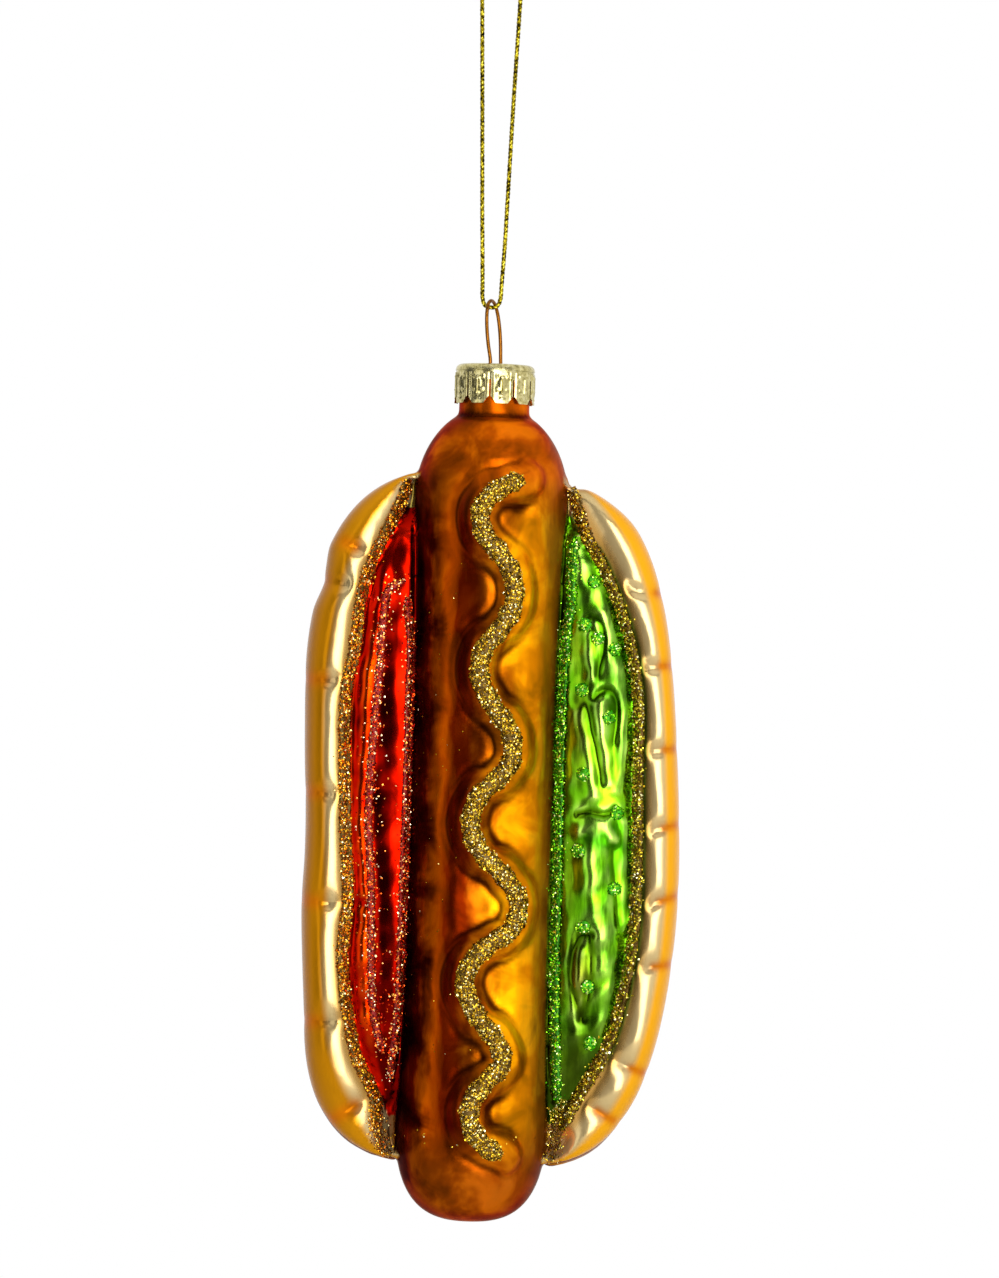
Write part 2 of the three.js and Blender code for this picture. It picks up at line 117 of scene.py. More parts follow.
def joined(name, pieces):
    only(*pieces)
    if len(pieces) > 1:
        bpy.ops.object.join()
    return started(name)


def settle(piece, body, material, nodes=(), origin=CAP_TOP):
    only(piece)
    bpy.ops.object.transform_apply(location=True, rotation=True, scale=True)
    put_points(piece, (points_of(piece) + origin) * MM)
    piece.data.materials.clear()
    piece.data.materials.append(material)
    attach(piece, body)
    if nodes:
        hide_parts(*nodes)
    triangles = sum(len(face.vertices) - 2 for face in piece.data.polygons)
    print(f"{piece.name}: {triangles} triangles")
    nothing_selected()


# %% [markdown]
# The camera stands level with the ornament's middle, far enough away that the bun hardly shows
# its sides, and is rolled by the few degrees that the ornament leans in the picture.

# %% Camera
CAMERA_DISTANCE = 0.9
FRAME_HEIGHT = 0.1917
VIEW_CENTRE = Vector((0.00284, 0.0, -0.1046))
LEAN = math.radians(1.85)

camera_data = bpy.data.cameras.new("camera")
camera_data.sensor_width = 36
camera_data.lens = camera_data.sensor_width * CAMERA_DISTANCE / FRAME_HEIGHT
camera_data.clip_start, camera_data.clip_end = 0.05, 20
camera = linked("camera", camera_data)
camera.location = VIEW_CENTRE + Vector((0, -CAMERA_DISTANCE, 0))
camera.rotation_mode = "QUATERNION"
camera.rotation_quaternion = (
    Quaternion((1, 0, 0), math.pi / 2) @ Quaternion((0, 0, 1), LEAN)
)
bpy.context.scene.camera = camera
print("lens", round(camera_data.lens, 1), "mm")

# %% [markdown]
# Materials are built from nodes. Colours are written as they look on a screen, in hex, and are
# turned into the linear values that the shader counts with. One helper adds a node with its
# settings and links.

# %% Colour and nodes


def linear(hex_colour, alpha=1.0):
    """A screen colour such as "#c89b3c" as the shader's linear colour."""
    channels = [int(hex_colour[i:i + 2], 16) / 255 for i in (1, 3, 5)]
    return [c / 12.92 if c <= 0.04045 else ((c + 0.055) / 1.055) ** 2.4 for c in channels] + [alpha]


def new_material(name):
    material = bpy.data.materials.new(name)
    material.use_nodes = True
    material.node_tree.nodes.clear()
    return material, material.node_tree


def node(tree, kind, *first, out=0, stops=(), **others):
    """Adds a node and gives one of its outputs. Its inputs come in order, by name, or by number
    as in _6: each a value, a hex colour or a socket to link. Words in small letters are its
    options. Stops are the places and colours of a colour ramp."""
    made = tree.nodes.new("ShaderNode" + kind)
    for option in filter(str.islower, others):
        setattr(made, option, others[option])
    names = [socket.name.replace(" ", "_") for socket in made.inputs]
    values = dict(enumerate(first))
    for key, value in others.items():
        if not key.islower():
            values[int(key[1:]) if key[1:].isdigit() else names.index(key)] = value
    for place, value in values.items():
        if isinstance(value, bpy.types.NodeSocket):
            tree.links.new(value, made.inputs[place])
        else:
            made.inputs[place].default_value = linear(value) if isinstance(value, str) else value
    if stops:
        elements = made.color_ramp.elements
        while len(elements) < len(stops):
            elements.new(1)
        for element, (position, colour) in zip(elements, stops):
            element.position = position
            element.color = linear(colour) if isinstance(colour, str) else colour
    return made.outputs[out] if made.outputs else None


# %% [markdown]
# Lines are drawn through a few points, as a hand draws them, and read off at even steps.

# %% Smooth lines


def unit(rows):
    return rows / np.linalg.norm(rows, axis=1)[:, None]


def run_of(line):
    """How far along a line each of its points lies."""
    return np.concatenate([[0], np.cumsum(np.linalg.norm(np.diff(line, axis=0), axis=1))])


def smooth_line(points, step):
    """Even steps along a curve through the points."""
    p = np.array(points, dtype=float)
    p = np.vstack([2 * p[0] - p[1], p, 2 * p[-1] - p[-2]])
    spans = []
    for a, b, c, d in zip(p, p[1:], p[2:], p[3:]):
        k = np.cumsum([0] + [max(np.linalg.norm(v), 1e-9) ** 0.5 for v in (b - a, c - b, d - c)])
        t = np.linspace(k[1], k[2], 24, endpoint=False)[:, None]

        def between(first, second, i, j):
            return (k[j] - t) / (k[j] - k[i]) * first + (t - k[i]) / (k[j] - k[i]) * second

        ab, bc, cd = between(a, b, 0, 1), between(b, c, 1, 2), between(c, d, 2, 3)
        spans.append(between(between(ab, bc, 0, 2), between(bc, cd, 1, 3), 1, 2))
    fine = np.vstack(spans + [p[-2][None]])
    run = run_of(fine)
    stops = np.linspace(0, run[-1], max(2, round(run[-1] / step) + 1))
    return np.column_stack([np.interp(stops, run, axis) for axis in fine.T])


def rod(name, lines, radius, rounding):
    """Round wire along each line: a curve with a bevel, made a mesh."""
    nothing_selected()
    curve = bpy.data.curves.new(name, "CURVE")
    curve.dimensions = "3D"
    curve.bevel_depth = radius
    curve.bevel_resolution = rounding
    curve.use_fill_caps = True
    for line in lines:
        spline = curve.splines.new("POLY")
        spline.points.add(len(line) - 1)
        spline.points.foreach_set("co", np.column_stack([line, np.ones(len(line))]).ravel())
    only(linked(name, curve))
    bpy.ops.object.convert(target="MESH")
    bpy.ops.object.shade_smooth()
    return started(name)


def strands(line, count, offset, pitch):
    """Lines that wind round a line, as the strands of a cord do."""
    along = unit(np.gradient(line, axis=0))
    side = np.zeros_like(line)
    side[0] = np.cross(along[0], (0.3, 1, 0.2))
    for i in range(1, len(line)):
        side[i] = side[i - 1] - along[i] * (side[i - 1] @ along[i])
        side[i] /= np.linalg.norm(side[i])
    side[0] /= np.linalg.norm(side[0])
    up = np.cross(along, side)
    wound = []
    for k in range(count):
        turn = (2 * math.pi * (run_of(line) / pitch + k / count))[:, None]
        wound.append(line + offset * (np.cos(turn) * side + np.sin(turn) * up))
    return wound


# %% [markdown]
# The cord is metallic braid of the kind sold for gifts: gold foil thread laid round a core, about
# 0.7 mm thick. Foil flashes where it faces the light and is nearly black where it turns away, so
# the cord sparkles along its whole length. It could be a striped tube, but a tube has an even
# edge. Three strands that wind round each other give the notched edge and the gaps.

# %% Metal thread
CORD_DIAMETER = 0.7
THREAD_PITCH = 0.45


def metal_thread():
    """Gold foil thread: metallic, its dark and bright lengths painted shade and glints."""
    material, tree = new_material("gold_foil_thread")
    where = node(tree, "TexCoord", out="Object")
    foil = node(tree, "TexNoise", where, Scale=1 / (THREAD_PITCH * MM), Detail=3.0, Roughness=0.6)
    # Painted light: the near-black and bright stops paint the foil's shade and glints into its
    # colour.
    colour = node(tree, "ValToRGB", foil, stops=[
        (0.38, "#1c1702"), (0.47, "#6f6008"), (0.57, "#b3a01a"), (0.68, "#f2e65c")])
    lift = node(tree, "Bump", Strength=0.6, Distance=0.00008, Height=foil)
    node(tree, "OutputMaterial", node(
        tree, "BsdfPrincipled", colour, Metallic=1.0, Roughness=0.24, Normal=lift))
    return material


thread = metal_thread()

# %% [markdown]
# The cord runs through the wire's eye and up both sides to a knot that closes the loop. What
# hangs the ornament is inside the top of the loop. The route is the frame's own, in millimetres
# from that point.

# %% Cord
CORD_ROUTE = [
    (-2.95, -6.4), (-2.8, -10), (-2.55, -17.5), (-2.3, -25), (-2.05, -33), (-1.8, -41),
    (-1.55, -47.5), (-1.42, -51.5), (-1.34, -53.6), (-0.96, -54.6), (0, -54.95), (0.96, -54.6),
    (1.34, -53.6), (1.44, -51.5), (1.7, -46.5), (1.95, -38), (2.15, -31), (2.4, -22.5),
    (2.7, -14), (2.93, -7), (2.95, -2.9), (2.5, -1.05), (1.4, 0), (0, 0.35), (-1.4, 0),
    (-2.5, -1.05), (-2.93, -2.6), (-2.95, -3.6),
]
CORD_STEP = 0.12
cord_line = smooth_line([(x, 0, z) for x, z in CORD_ROUTE], CORD_STEP)
STRAND_RADIUS = 0.185
STRAND_OFFSET = CORD_DIAMETER / 2 - STRAND_RADIUS
STRAND_PITCH = 1.9

cord = rod("cord_strands", strands(cord_line, 3, STRAND_OFFSET, STRAND_PITCH), STRAND_RADIUS, 1)
settle(cord, "cord", thread, ["cord"], CORD_TOP)

# %% [markdown]
# The knot is an overhand knot pulled tight: the two ends go round the standing cords together
# and come out as short cut tails. Three wraps and two tails are what is seen of it.

# %% Knot
KNOT = np.array([-2.95, 0.0, -5.0])
WRAP_TURNS, WRAP_RADIUS, WRAP_HALF = 2.9, 0.68, 0.72
turn = 2 * math.pi * WRAP_TURNS * np.linspace(0, 1, 160)
rise = np.linspace(-WRAP_HALF, WRAP_HALF, 160)
wrap = KNOT + np.column_stack([WRAP_RADIUS * np.cos(turn), WRAP_RADIUS * np.sin(turn), rise])
KNOT_LINES = [
    [(-2.95, 0, -6.2), (-2.8, 0.12, -5.5), (-3.05, -0.1, -4.7), (-2.95, 0, -3.8)],
    [(-3.3, 0.2, -4.6), (-5, 0.5, -3.6), (-7, 0.2, -3.2), (-8.8, -0.4, -2)],
    [(-3.3, -0.2, -5.3), (-5.2, -0.8, -5.2), (-7.4, -1, -5.6), (-9.2, -0.6, -5.2)],
]
knot_lines = [wrap] + [smooth_line(line, CORD_STEP) for line in KNOT_LINES]
wound = [s for line in knot_lines for s in strands(line, 3, STRAND_OFFSET, STRAND_PITCH)]
knot = rod("knot_strands", wound, STRAND_RADIUS, 1)
settle(knot, "cord", thread, ["cord_knot"], CORD_TOP)

# %% [markdown]
# The hanger is one piece of springy wire with a coppery lacquer. It is bent to an eye above the
# cap, passes through two holes and spreads inside the neck, where its legs press outwards and
# hold the cap down.

# %% Hanger wire
WIRE_RADIUS = 0.275
EYE_HEIGHT = 9.43
EYE_LEAN = 0.93
EYE_TURN = math.radians(27)
EYE_HALF = 2.1
FOOT = 1.7
LEG_SPREAD = 3.705
half_wire = [
    (LEG_SPREAD - 1.2, -15.5), (LEG_SPREAD - 0.5, -11.8), (LEG_SPREAD, -7.6),
    (LEG_SPREAD - 0.5, -3.8), (FOOT + 0.3, -1.3), (FOOT, 0.2), (EYE_HALF - 0.05, 3),
    (EYE_HALF, 5.4), (0.83 * EYE_HALF, EYE_HEIGHT - 1.85), (0.48 * EYE_HALF, EYE_HEIGHT - 0.43),
]
wire_route = [(-a, z) for a, z in half_wire] + [(0, EYE_HEIGHT)] + half_wire[::-1]
wire_points = [
    (a * math.sin(EYE_TURN) - max(z, 0) / EYE_HEIGHT * EYE_LEAN, a * math.cos(EYE_TURN), z)
    for a, z in wire_route
]
hanger = rod("bent_hanger_wire", [smooth_line(wire_points, 0.3)], WIRE_RADIUS, 4)


def copper_wire():
    """Lacquered copper-coloured spring wire, drawn, so its fine scratches run along it."""
    material, tree = new_material("lacquered_copper_wire")
    where = node(tree, "TexCoord", out="Object")
    stretched = node(tree, "Mapping", where, Scale=(1.0, 1.0, 0.04))
    drawn = node(tree, "TexNoise", stretched, Scale=9000.0, Detail=2.0)
    colour = node(tree, "ValToRGB", drawn, stops=[
        (0.35, "#6a400e"), (0.55, "#865218"), (0.75, "#a46c26")])
    node(tree, "OutputMaterial", node(
        tree, "BsdfPrincipled", colour, Metallic=1.0, Roughness=0.26))
    return material


settle(hanger, "hanger", copper_wire(), ["hanger_wire"])

# %% [markdown]
# The cap is a cup stamped from thin brass-coloured aluminium. Its skirt is slit into ten petals
# with scalloped tips, and the die also presses a raised ornament into each petal. It could be
# lathed, but then the petals would be cut out of it one by one. Here one petal is modelled from a
# flat sheet, bent to its tenth of the circle, and nine copies close the ring.

# %% One petal
CAP_RADIUS = 6.0
CAP_SKIRT = 6.0
CAP_CORNER = 0.9
CAP_DOME = 0.25
CAP_WALL = 0.3
CAP_FLARE = 0.12
PETALS = 10
PETAL_COLUMNS, PETAL_ROWS = 26, 44
SLIT_TOP = -2.6
SLIT_HALF = 0.15 / CAP_RADIUS
FIRST_SLIT = 0.3
sector = 2 * math.pi / PETALS


def smooth_step(low, high, value):
    t = np.clip((value - low) / (high - low), 0, 1)
    return t * t * (3 - 2 * t)


def bell(*offsets):
    """A smooth bump: 1 where the offsets are 0, and next to nothing beyond 2."""
    return np.exp(-sum(offset**2 for offset in offsets))


def petal_tip(share):
    """How far the petal's lower edge is above the skirt's end, in mm."""
    side = np.abs(share)
    return 0.95 * smooth_step(0.45, 0.98, side) - 0.12 * smooth_step(0.62, 0.5, side)


def petal_relief(share, z):
    """The die's ornament: a rim round the petal, a leaf in its middle and two beads."""
    side = np.abs(share)
    leaf_half = 0.16 + 0.16 * np.sin(np.clip((-z - 2.0) * 1.1, 0, math.pi))
    rim = 0.09 * bell((side - 0.84) / 0.07) * (z < -1.5)
    leaf = 0.16 * bell(share / leaf_half) * smooth_step(-1.9, -2.3, z) * smooth_step(-5.1, -4.6, z)
    vein = -0.12 * bell(share / 0.06) * smooth_step(-2.1, -2.6, z) * (z > -4.7)
    scroll = 0.13 * bell((side - 0.48) / 0.1, (z + 2.1) / 0.35)
    foot = 0.12 * bell((side - 0.42) / 0.12, (z + 4.1) / 0.3)
    tip = 0.12 * bell(share / 0.2, (z + 5.35) / 0.22)
    return 1.5 * (rim + leaf + vein + scroll + foot + tip)


nothing_selected()
bpy.ops.mesh.primitive_grid_add(x_subdivisions=PETAL_COLUMNS, y_subdivisions=PETAL_ROWS, size=2)
petal = started("petal")
flat = points_of(petal)
share, down = flat[:, 0], (1 - flat[:, 1]) / 2
edge_share = 1 - SLIT_HALF / (sector / 2)
column = 2 / PETAL_COLUMNS
share = np.where(np.abs(np.abs(share) - (1 - column)) < 1e-4, np.sign(share) * edge_share, share)
angle = share * sector / 2
bottom = -CAP_SKIRT + petal_tip(share)
z = -CAP_DOME - CAP_CORNER + (bottom + CAP_DOME + CAP_CORNER) * down
radius = CAP_RADIUS - CAP_FLARE + petal_relief(share / edge_share, z)
radius += CAP_FLARE * smooth_step(-5.2, -6.0, z)
put_points(petal, np.column_stack([radius * np.cos(angle), radius * np.sin(angle), z]))

# %% [markdown]
# The faces at both edges of the sheet, below the slit's top, are the slit's halves and go away.

# %% Slit
only(petal)
bpy.ops.object.mode_set(mode="EDIT")
bpy.ops.mesh.select_all(action="DESELECT")
bpy.ops.object.mode_set(mode="OBJECT")
for face in petal.data.polygons:
    x, y, height = face.center
    face.select = height < SLIT_TOP and abs(math.atan2(y, x)) / (sector / 2) > edge_share
bpy.ops.object.mode_set(mode="EDIT")
bpy.ops.mesh.delete(type="FACE")
bpy.ops.object.mode_set(mode="OBJECT")

copies = [petal] + [linked(f"petal_{k + 1}", petal.data.copy()) for k in range(1, PETALS)]
for k, copy in enumerate(copies):
    turn = (k + 0.5 + FIRST_SLIT) * sector
    x, y, z = points_of(copy).T
    c, s = math.cos(turn), math.sin(turn)
    put_points(copy, np.column_stack([c * x - s * y, s * x + c * y, z]))
skirt = joined("stamped_cap", copies)
print("petals:", len(copies))

# %% [markdown]
# The top is a disc that is inset and lowered towards its rim until it meets the skirt. Solidify
# then gives the sheet its 0.3 mm, and two round cutters make the wire's holes.

# %% Cap top
DISC_RADIUS = CAP_RADIUS - 0.02
WIRE_HOLE = 0.5
WELD = 0.06
nothing_selected()
bpy.ops.mesh.primitive_circle_add(vertices=PETALS * PETAL_COLUMNS, radius=DISC_RADIUS,
                                  fill_type="NGON", location=(0, 0, -CAP_DOME - CAP_CORNER))
disc = started("cap_top")
only(disc)
bpy.ops.object.transform_apply(location=True)
bpy.ops.object.mode_set(mode="EDIT")
for inset in [0.14] * 8 + [0.8] * 5:
    bpy.ops.mesh.inset(thickness=inset)
bpy.ops.mesh.poke()
bpy.ops.object.mode_set(mode="OBJECT")
p = points_of(disc)
out = np.hypot(p[:, 0], p[:, 1])
corner = np.clip((out - (DISC_RADIUS - CAP_CORNER)) / CAP_CORNER, 0, 1)
fall = CAP_CORNER * (1 - np.sqrt(np.clip(1 - corner**2, 0, 1)))
p[:, 2] = -CAP_DOME * (out / CAP_RADIUS) ** 2 - fall
p[out > CAP_RADIUS - 0.03, 2] = -CAP_DOME - CAP_CORNER
put_points(disc, p)

cap = joined("stamped_cap", [skirt, disc])
whole(cap, bpy.ops.mesh.remove_doubles, threshold=WELD)
whole(cap, bpy.ops.mesh.normals_make_consistent, inside=False)
wall = cap.modifiers.new("wall", "SOLIDIFY")
wall.thickness, wall.offset = CAP_WALL, -1
finish_modifiers(cap)

nothing_selected()
cutters = []
for side in (-1, 1):
    spot = (side * FOOT * math.sin(EYE_TURN), side * FOOT * math.cos(EYE_TURN), 0)
    bpy.ops.mesh.primitive_cylinder_add(vertices=24, radius=WIRE_HOLE, depth=3, location=spot)
    cutters.append(bpy.context.object)


def cut_out(piece, cutter):
    cut = piece.modifiers.new("cut", "BOOLEAN")
    cut.object, cut.solver = cutter, "EXACT"
    finish_modifiers(piece)
    bpy.data.objects.remove(cutter)


cut_out(cap, joined("hole_cutter", cutters))
only(cap)
bpy.ops.object.shade_smooth_by_angle(angle=math.radians(42))


def stamped_aluminium():
    """Anodised aluminium stamped to a cap: pale gold, with painted shade darkening its hollows."""
    material, tree = new_material("pale_gold_anodised_aluminium")
    where = node(tree, "TexCoord", out="Object")
    grain = node(tree, "TexNoise", where, Scale=1600.0, Detail=4.0, Roughness=0.65)
    # Painted shade: ambient occlusion darkens the colour in the stamped hollows.
    hollow_shade = node(tree, "AmbientOcclusion", samples=4, out="AO", Distance=0.0006)
    colour = node(tree, "ValToRGB", grain, stops=[
        (0.3, "#857a44"), (0.5, "#c4b87c"), (0.72, "#e8dfae")])
    colour = node(tree, "Mix", hollow_shade, data_type="RGBA", out=2, _6="#4a4420", _7=colour)
    lift = node(tree, "Bump", Strength=0.5, Distance=0.00006, Height=grain)
    node(tree, "OutputMaterial", node(
        tree, "BsdfPrincipled", colour, Metallic=1.0, Roughness=0.22, Normal=lift))
    return material


settle(cap, "cap", stamped_aluminium(), ["cap"])

# %% [markdown]
# The glass is one skin, but its mould has six forms: the sausage with its neck, the loaf, two
# rolled lips, the ketchup and the lettuce. Each is a sphere pressed to its form by the same rules
# as in the frame: at every height a left and a right edge, a depth in front and behind, and an
# arch between them.

# %% The forms' rules


def arch(share, fullness):
    return np.maximum(0, 1 - np.abs(share) ** fullness) ** (1 / fullness)


def read_across(points):
    """Smooth curve through (across, height) points, read at heights."""
    a, z = np.array(points, dtype=float).T
    slopes = np.empty(len(a))
    slopes[1:-1] = (a[2:] - a[:-2]) / (z[2:] - z[:-2])
    slopes[0], slopes[-1] = [(a[i + 1] - a[i]) / (z[i + 1] - z[i]) for i in (0, -2)]

    def at(height):
        h = np.clip(height, z[-1], z[0])
        i = np.clip(np.searchsorted(-z, -h, side="right") - 1, 0, len(z) - 2)
        span = z[i + 1] - z[i]
        t = (h - z[i]) / span
        turn = span * t * (1 - t) * (slopes[i] * (1 - t) - slopes[i + 1] * t)
        return a[i] + (a[i + 1] - a[i]) * t * t * (3 - 2 * t) + turn

    return at


SAUSAGE = 11.45
NECK_TOP = -0.85
NECK = 5.3
CREASE = -7.8
SHOULDER_Z, TIP_Z = -20.0, -112.0
SHOULDER, TIP = 13.8, 16.6
BUN_TOP, BUN_MIDDLE, BUN_BOTTOM = -15.9, -67.9, -119.9
BUN_HALF = 28.3
LIP_TOP, LIP_BOTTOM, LIP_DEPTH, LIP_OVERLAP = -17.0, -118.6, 9.4, 1.8
KETCHUP = (-20.6, -113.0, 8.6)
LETTUCE = (-22.6, -113.5, 9.0)
MOUND_OVERLAP = 1.8
PARTING = 1.0
SIDES, RINGS, SAUSAGE_RINGS = 120, 220, 260
BACK, FRONT = 19.0, 5.0

left_width = read_across([
    (2.2, -17.8), (5.8, -20.6), (7.5, -25), (7.45, -30.2), (7.5, -36), (7.8, -43), (6.95, -49.7),
    (6.75, -60), (6.65, -70), (7.2, -80.5), (6.8, -88), (7.3, -95), (8.3, -104.2), (9.3, -109.6),
    (7.5, -114), (3.3, -118.4),
])
right_width = read_across([
    (3.6, -18.2), (7, -21.6), (8.45, -25.6), (7.95, -29.7), (7.05, -35.2), (6.15, -41.5),
    (5.7, -49.5), (6.3, -61), (6.55, -72), (6.5, -83.5), (6.8, -92), (7.45, -101.5), (8.85, -109),
    (8.2, -114), (3.4, -118.4),
])


def sausage_radius(z):
    tip = SAUSAGE * arch(np.minimum(z - TIP_Z, 0) / TIP, 2.8)
    shoulder = SAUSAGE * arch(np.maximum(z - SHOULDER_Z, 0) / SHOULDER, 2)
    return np.where(z > CREASE, NECK, np.where(z > SHOULDER_Z, shoulder, tip))


def bun_swell(z):
    upper = arch((z - BUN_MIDDLE) / (BUN_TOP - BUN_MIDDLE), 3.3)
    return np.where(z > BUN_MIDDLE, upper, arch((z - BUN_MIDDLE) / (BUN_BOTTOM - BUN_MIDDLE), 3.7))


def bun_shift(z):
    return 1.7 * bell((z + 77) / 24)


def bun_left(z):
    return bun_shift(z) - BUN_HALF * bun_swell(z)


def bun_right(z):
    return bun_shift(z) + BUN_HALF * bun_swell(z)


def left_rim(z):
    return bun_left(z) + left_width(z)


def right_rim(z):
    return bun_right(z) - right_width(z)


def lip_depth(z):
    return LIP_DEPTH * bun_swell(z)


def bun_front(z):
    return FRONT * bun_swell(z)


def mound(z, top, bottom, depth):
    return depth * arch((2 * z - top - bottom) / (top - bottom), 2.6)


# %% [markdown]
# With the rules at hand, each form is a row of a table and a pressed sphere. A pressed sphere
# stays closed, and its rings follow the form's height.

# %% Pressing the forms
# Of each form: top, bottom, left edge, right edge, depth in front and behind, and the fullness of
# its arch.
FORMS = {
    "sausage": (NECK_TOP, TIP_Z - TIP, lambda z: -sausage_radius(z), sausage_radius,
                sausage_radius, sausage_radius, 2),
    "loaf": (BUN_TOP, BUN_BOTTOM, bun_left, bun_right, bun_front,
             lambda z: BACK * bun_swell(z), 2.2),
    "left_lip": (LIP_TOP, LIP_BOTTOM, bun_left, lambda z: left_rim(z) + LIP_OVERLAP * bun_swell(z),
                 lip_depth, bun_front, 2.2),
    "right_lip": (LIP_TOP, LIP_BOTTOM, lambda z: right_rim(z) - LIP_OVERLAP * bun_swell(z),
                  bun_right, lip_depth, bun_front, 2.2),
    "ketchup": (*KETCHUP[:2], lambda z: left_rim(z) - MOUND_OVERLAP,
                lambda z: MOUND_OVERLAP - SAUSAGE + 0 * z, lambda z: mound(z, *KETCHUP),
                lambda z: mound(z, *KETCHUP[:2], FRONT), 2.4),
    "lettuce": (*LETTUCE[:2], lambda z: SAUSAGE - MOUND_OVERLAP + 0 * z,
                lambda z: right_rim(z) + MOUND_OVERLAP, lambda z: mound(z, *LETTUCE),
                lambda z: mound(z, *LETTUCE[:2], FRONT), 2.4),
}


def pressed(name):
    """A sphere pressed into a form of the mould."""
    top, bottom, left, right, front, back, fullness = FORMS[name]
    middle, rings = (0, SAUSAGE_RINGS) if name == "sausage" else (PARTING, RINGS)
    nothing_selected()
    bpy.ops.mesh.primitive_uv_sphere_add(segments=SIDES, ring_count=rings, radius=1)
    ball = started(name)
    p = points_of(ball)
    z = (top + bottom) / 2 + (top - bottom) / 2 * p[:, 2]
    share = p[:, 0] / np.maximum(np.hypot(p[:, 0], p[:, 1]), 1e-6)
    x = (left(z) + right(z) + share * (right(z) - left(z))) / 2
    reach = np.where(p[:, 1] < 0, front(z), back(z)) * arch(share, fullness)
    put_points(ball, np.column_stack([x, middle + np.sign(p[:, 1]) * reach, z]))
    return ball

# %% [markdown]
# A voxel remesh melts the six into one skin, as the hot glass takes the mould in one breath, and
# rounds the creases between them a little. A few smoothing passes remove the voxels' steps.

# %% One skin
VOXEL = 0.5
glass = joined("silvered_glass_body", [pressed(name) for name in FORMS])
glass.data.remesh_voxel_size = VOXEL
bpy.ops.object.voxel_remesh()
whole(glass, bpy.ops.mesh.vertices_smooth, factor=0.5, repeat=3)
print("glass:", len(glass.data.vertices), "points")

# %% [markdown]
# The neck is open, and it shows when the cap is pulled off, so it gets its bore: a cutter shaped
# like the inside of the neck and shoulder, with a rounded end.

# %% Bore of the neck
GLASS_WALL = 0.9
BORE_DEPTH = 18.0
nothing_selected()
bpy.ops.mesh.primitive_uv_sphere_add(segments=64, ring_count=48, radius=1)
cutter = started("bore_cutter")
p = points_of(cutter)
z = NECK_TOP + 1 - (1 - p[:, 2]) / 2 * BORE_DEPTH
out = np.hypot(p[:, 0], p[:, 1])
bore = NECK - GLASS_WALL + np.clip(CREASE - z, 0, None) * 0.4
bore = np.minimum(bore, 8 * np.sqrt(np.clip((z - NECK_TOP - 1 + BORE_DEPTH) / 9, 0, 1)))
scale = np.where(out > 1e-5, bore / np.maximum(out, 1e-5), 0)
put_points(cutter, np.column_stack([p[:, 0] * scale, p[:, 1] * scale, z]))
cut_out(glass, cutter)

# %% [markdown]
# The mould's engraving comes next, as a sculptor would push it: a ridge under the squiggle with a
# hollow in each of its bends, crimps across the lips that turn them into pillows, folds in the
# ketchup, and leaves in the lettuce. Each is a small function of the place, and every point moves
# along its own normal.

# %% Lines on the glass
SQUIGGLE = [
    (4.8, -17.5), (2.5, -18.3), (0, -20), (-1.5, -22.6), (-0.9, -25.6), (1.6, -28.6), (3.6, -32),
    (3.7, -36.5), (1.8, -40), (-0.4, -43), (-0.8, -47), (1.2, -51), (3.9, -55), (4.3, -59),
    (2.2, -62.1), (-0.3, -64.6), (-1.5, -69), (0.3, -73), (3.6, -76.2), (6, -80), (5.2, -84),
    (2, -86.4), (-0.8, -89.4), (-1.6, -92.6), (0.3, -97), (3.2, -100.6), (4.4, -104), (1.9, -107),
    (-0.1, -110), (0, -113.4), (2.1, -116.3), (4.8, -117.8),
]
HOLLOWS = [
    (4.6, -22.5, 2.4, 2.6, 0.9), (-2.8, -34, 3.0, 4.2, 0.6), (4.6, -46, 3, 4.2, 0.9),
    (-2.4, -57, 3.2, 4.6, 0.7), (4.2, -69, 3.4, 4, 1.1), (-0.2, -80.5, 3, 4.4, 1.0),
    (4, -93, 3.4, 4.4, 1.1), (-2.4, -103, 2.8, 4, 0.7), (4.4, -111.5, 2.8, 3.2, 0.9),
    (-5.5, -113, 2, 5, 0.5), (0.5, -124, 4, 1.6, 0.35), (7, -116, 1.6, 4, 0.5),
    (-5, -14, 4, 3, 0.35), (3, -12.5, 3, 2, 0.3), (-6, -24, 2, 7, 0.3),
]


def away_from(x, z, line, with_place=False):
    """Distance of each place to a line, and across which place of the line it lies."""
    nearest, across = np.full(x.shape, 1e9), np.zeros(x.shape)
    for (ax, az), (bx, bz) in zip(line[:-1], line[1:]):
        dx, dz = bx - ax, bz - az
        t = np.clip(((x - ax) * dx + (z - az) * dz) / max(dx * dx + dz * dz, 1e-9), 0, 1)
        d = np.hypot(x - ax - t * dx, z - az - t * dz)
        across = np.where(d < nearest, ax + t * dx, across)
        nearest = np.minimum(nearest, d)
    return (nearest, across) if with_place else nearest


def away_from_all(x, z, lines):
    """Distance of each place to the nearest of several lines."""
    return np.min([away_from(x, z, line) for line in lines], axis=0)


def sausage_relief(x, z):
    d, across = away_from(x, z, smooth_line(SQUIGGLE, 0.8), with_place=True)
    outer = np.tanh((x - across) * (across - 1.6) / 1.5)
    width = 2.25 + 0.5 * outer
    under_line = np.exp(-((d / width) ** 4))
    ridge = 1.15 * under_line - 0.3 * bell((d - width - 1.0) / 0.8)
    dent = sum(
        -deep * np.exp(-(((x - hx) / wide) ** 2 + ((z - hz) / tall) ** 2) ** 1.3)
        for hx, hz, wide, tall, deep in HOLLOWS
    )
    return ridge + dent * (1 - under_line) - 0.3 * bell((z - CREASE) / 0.55)


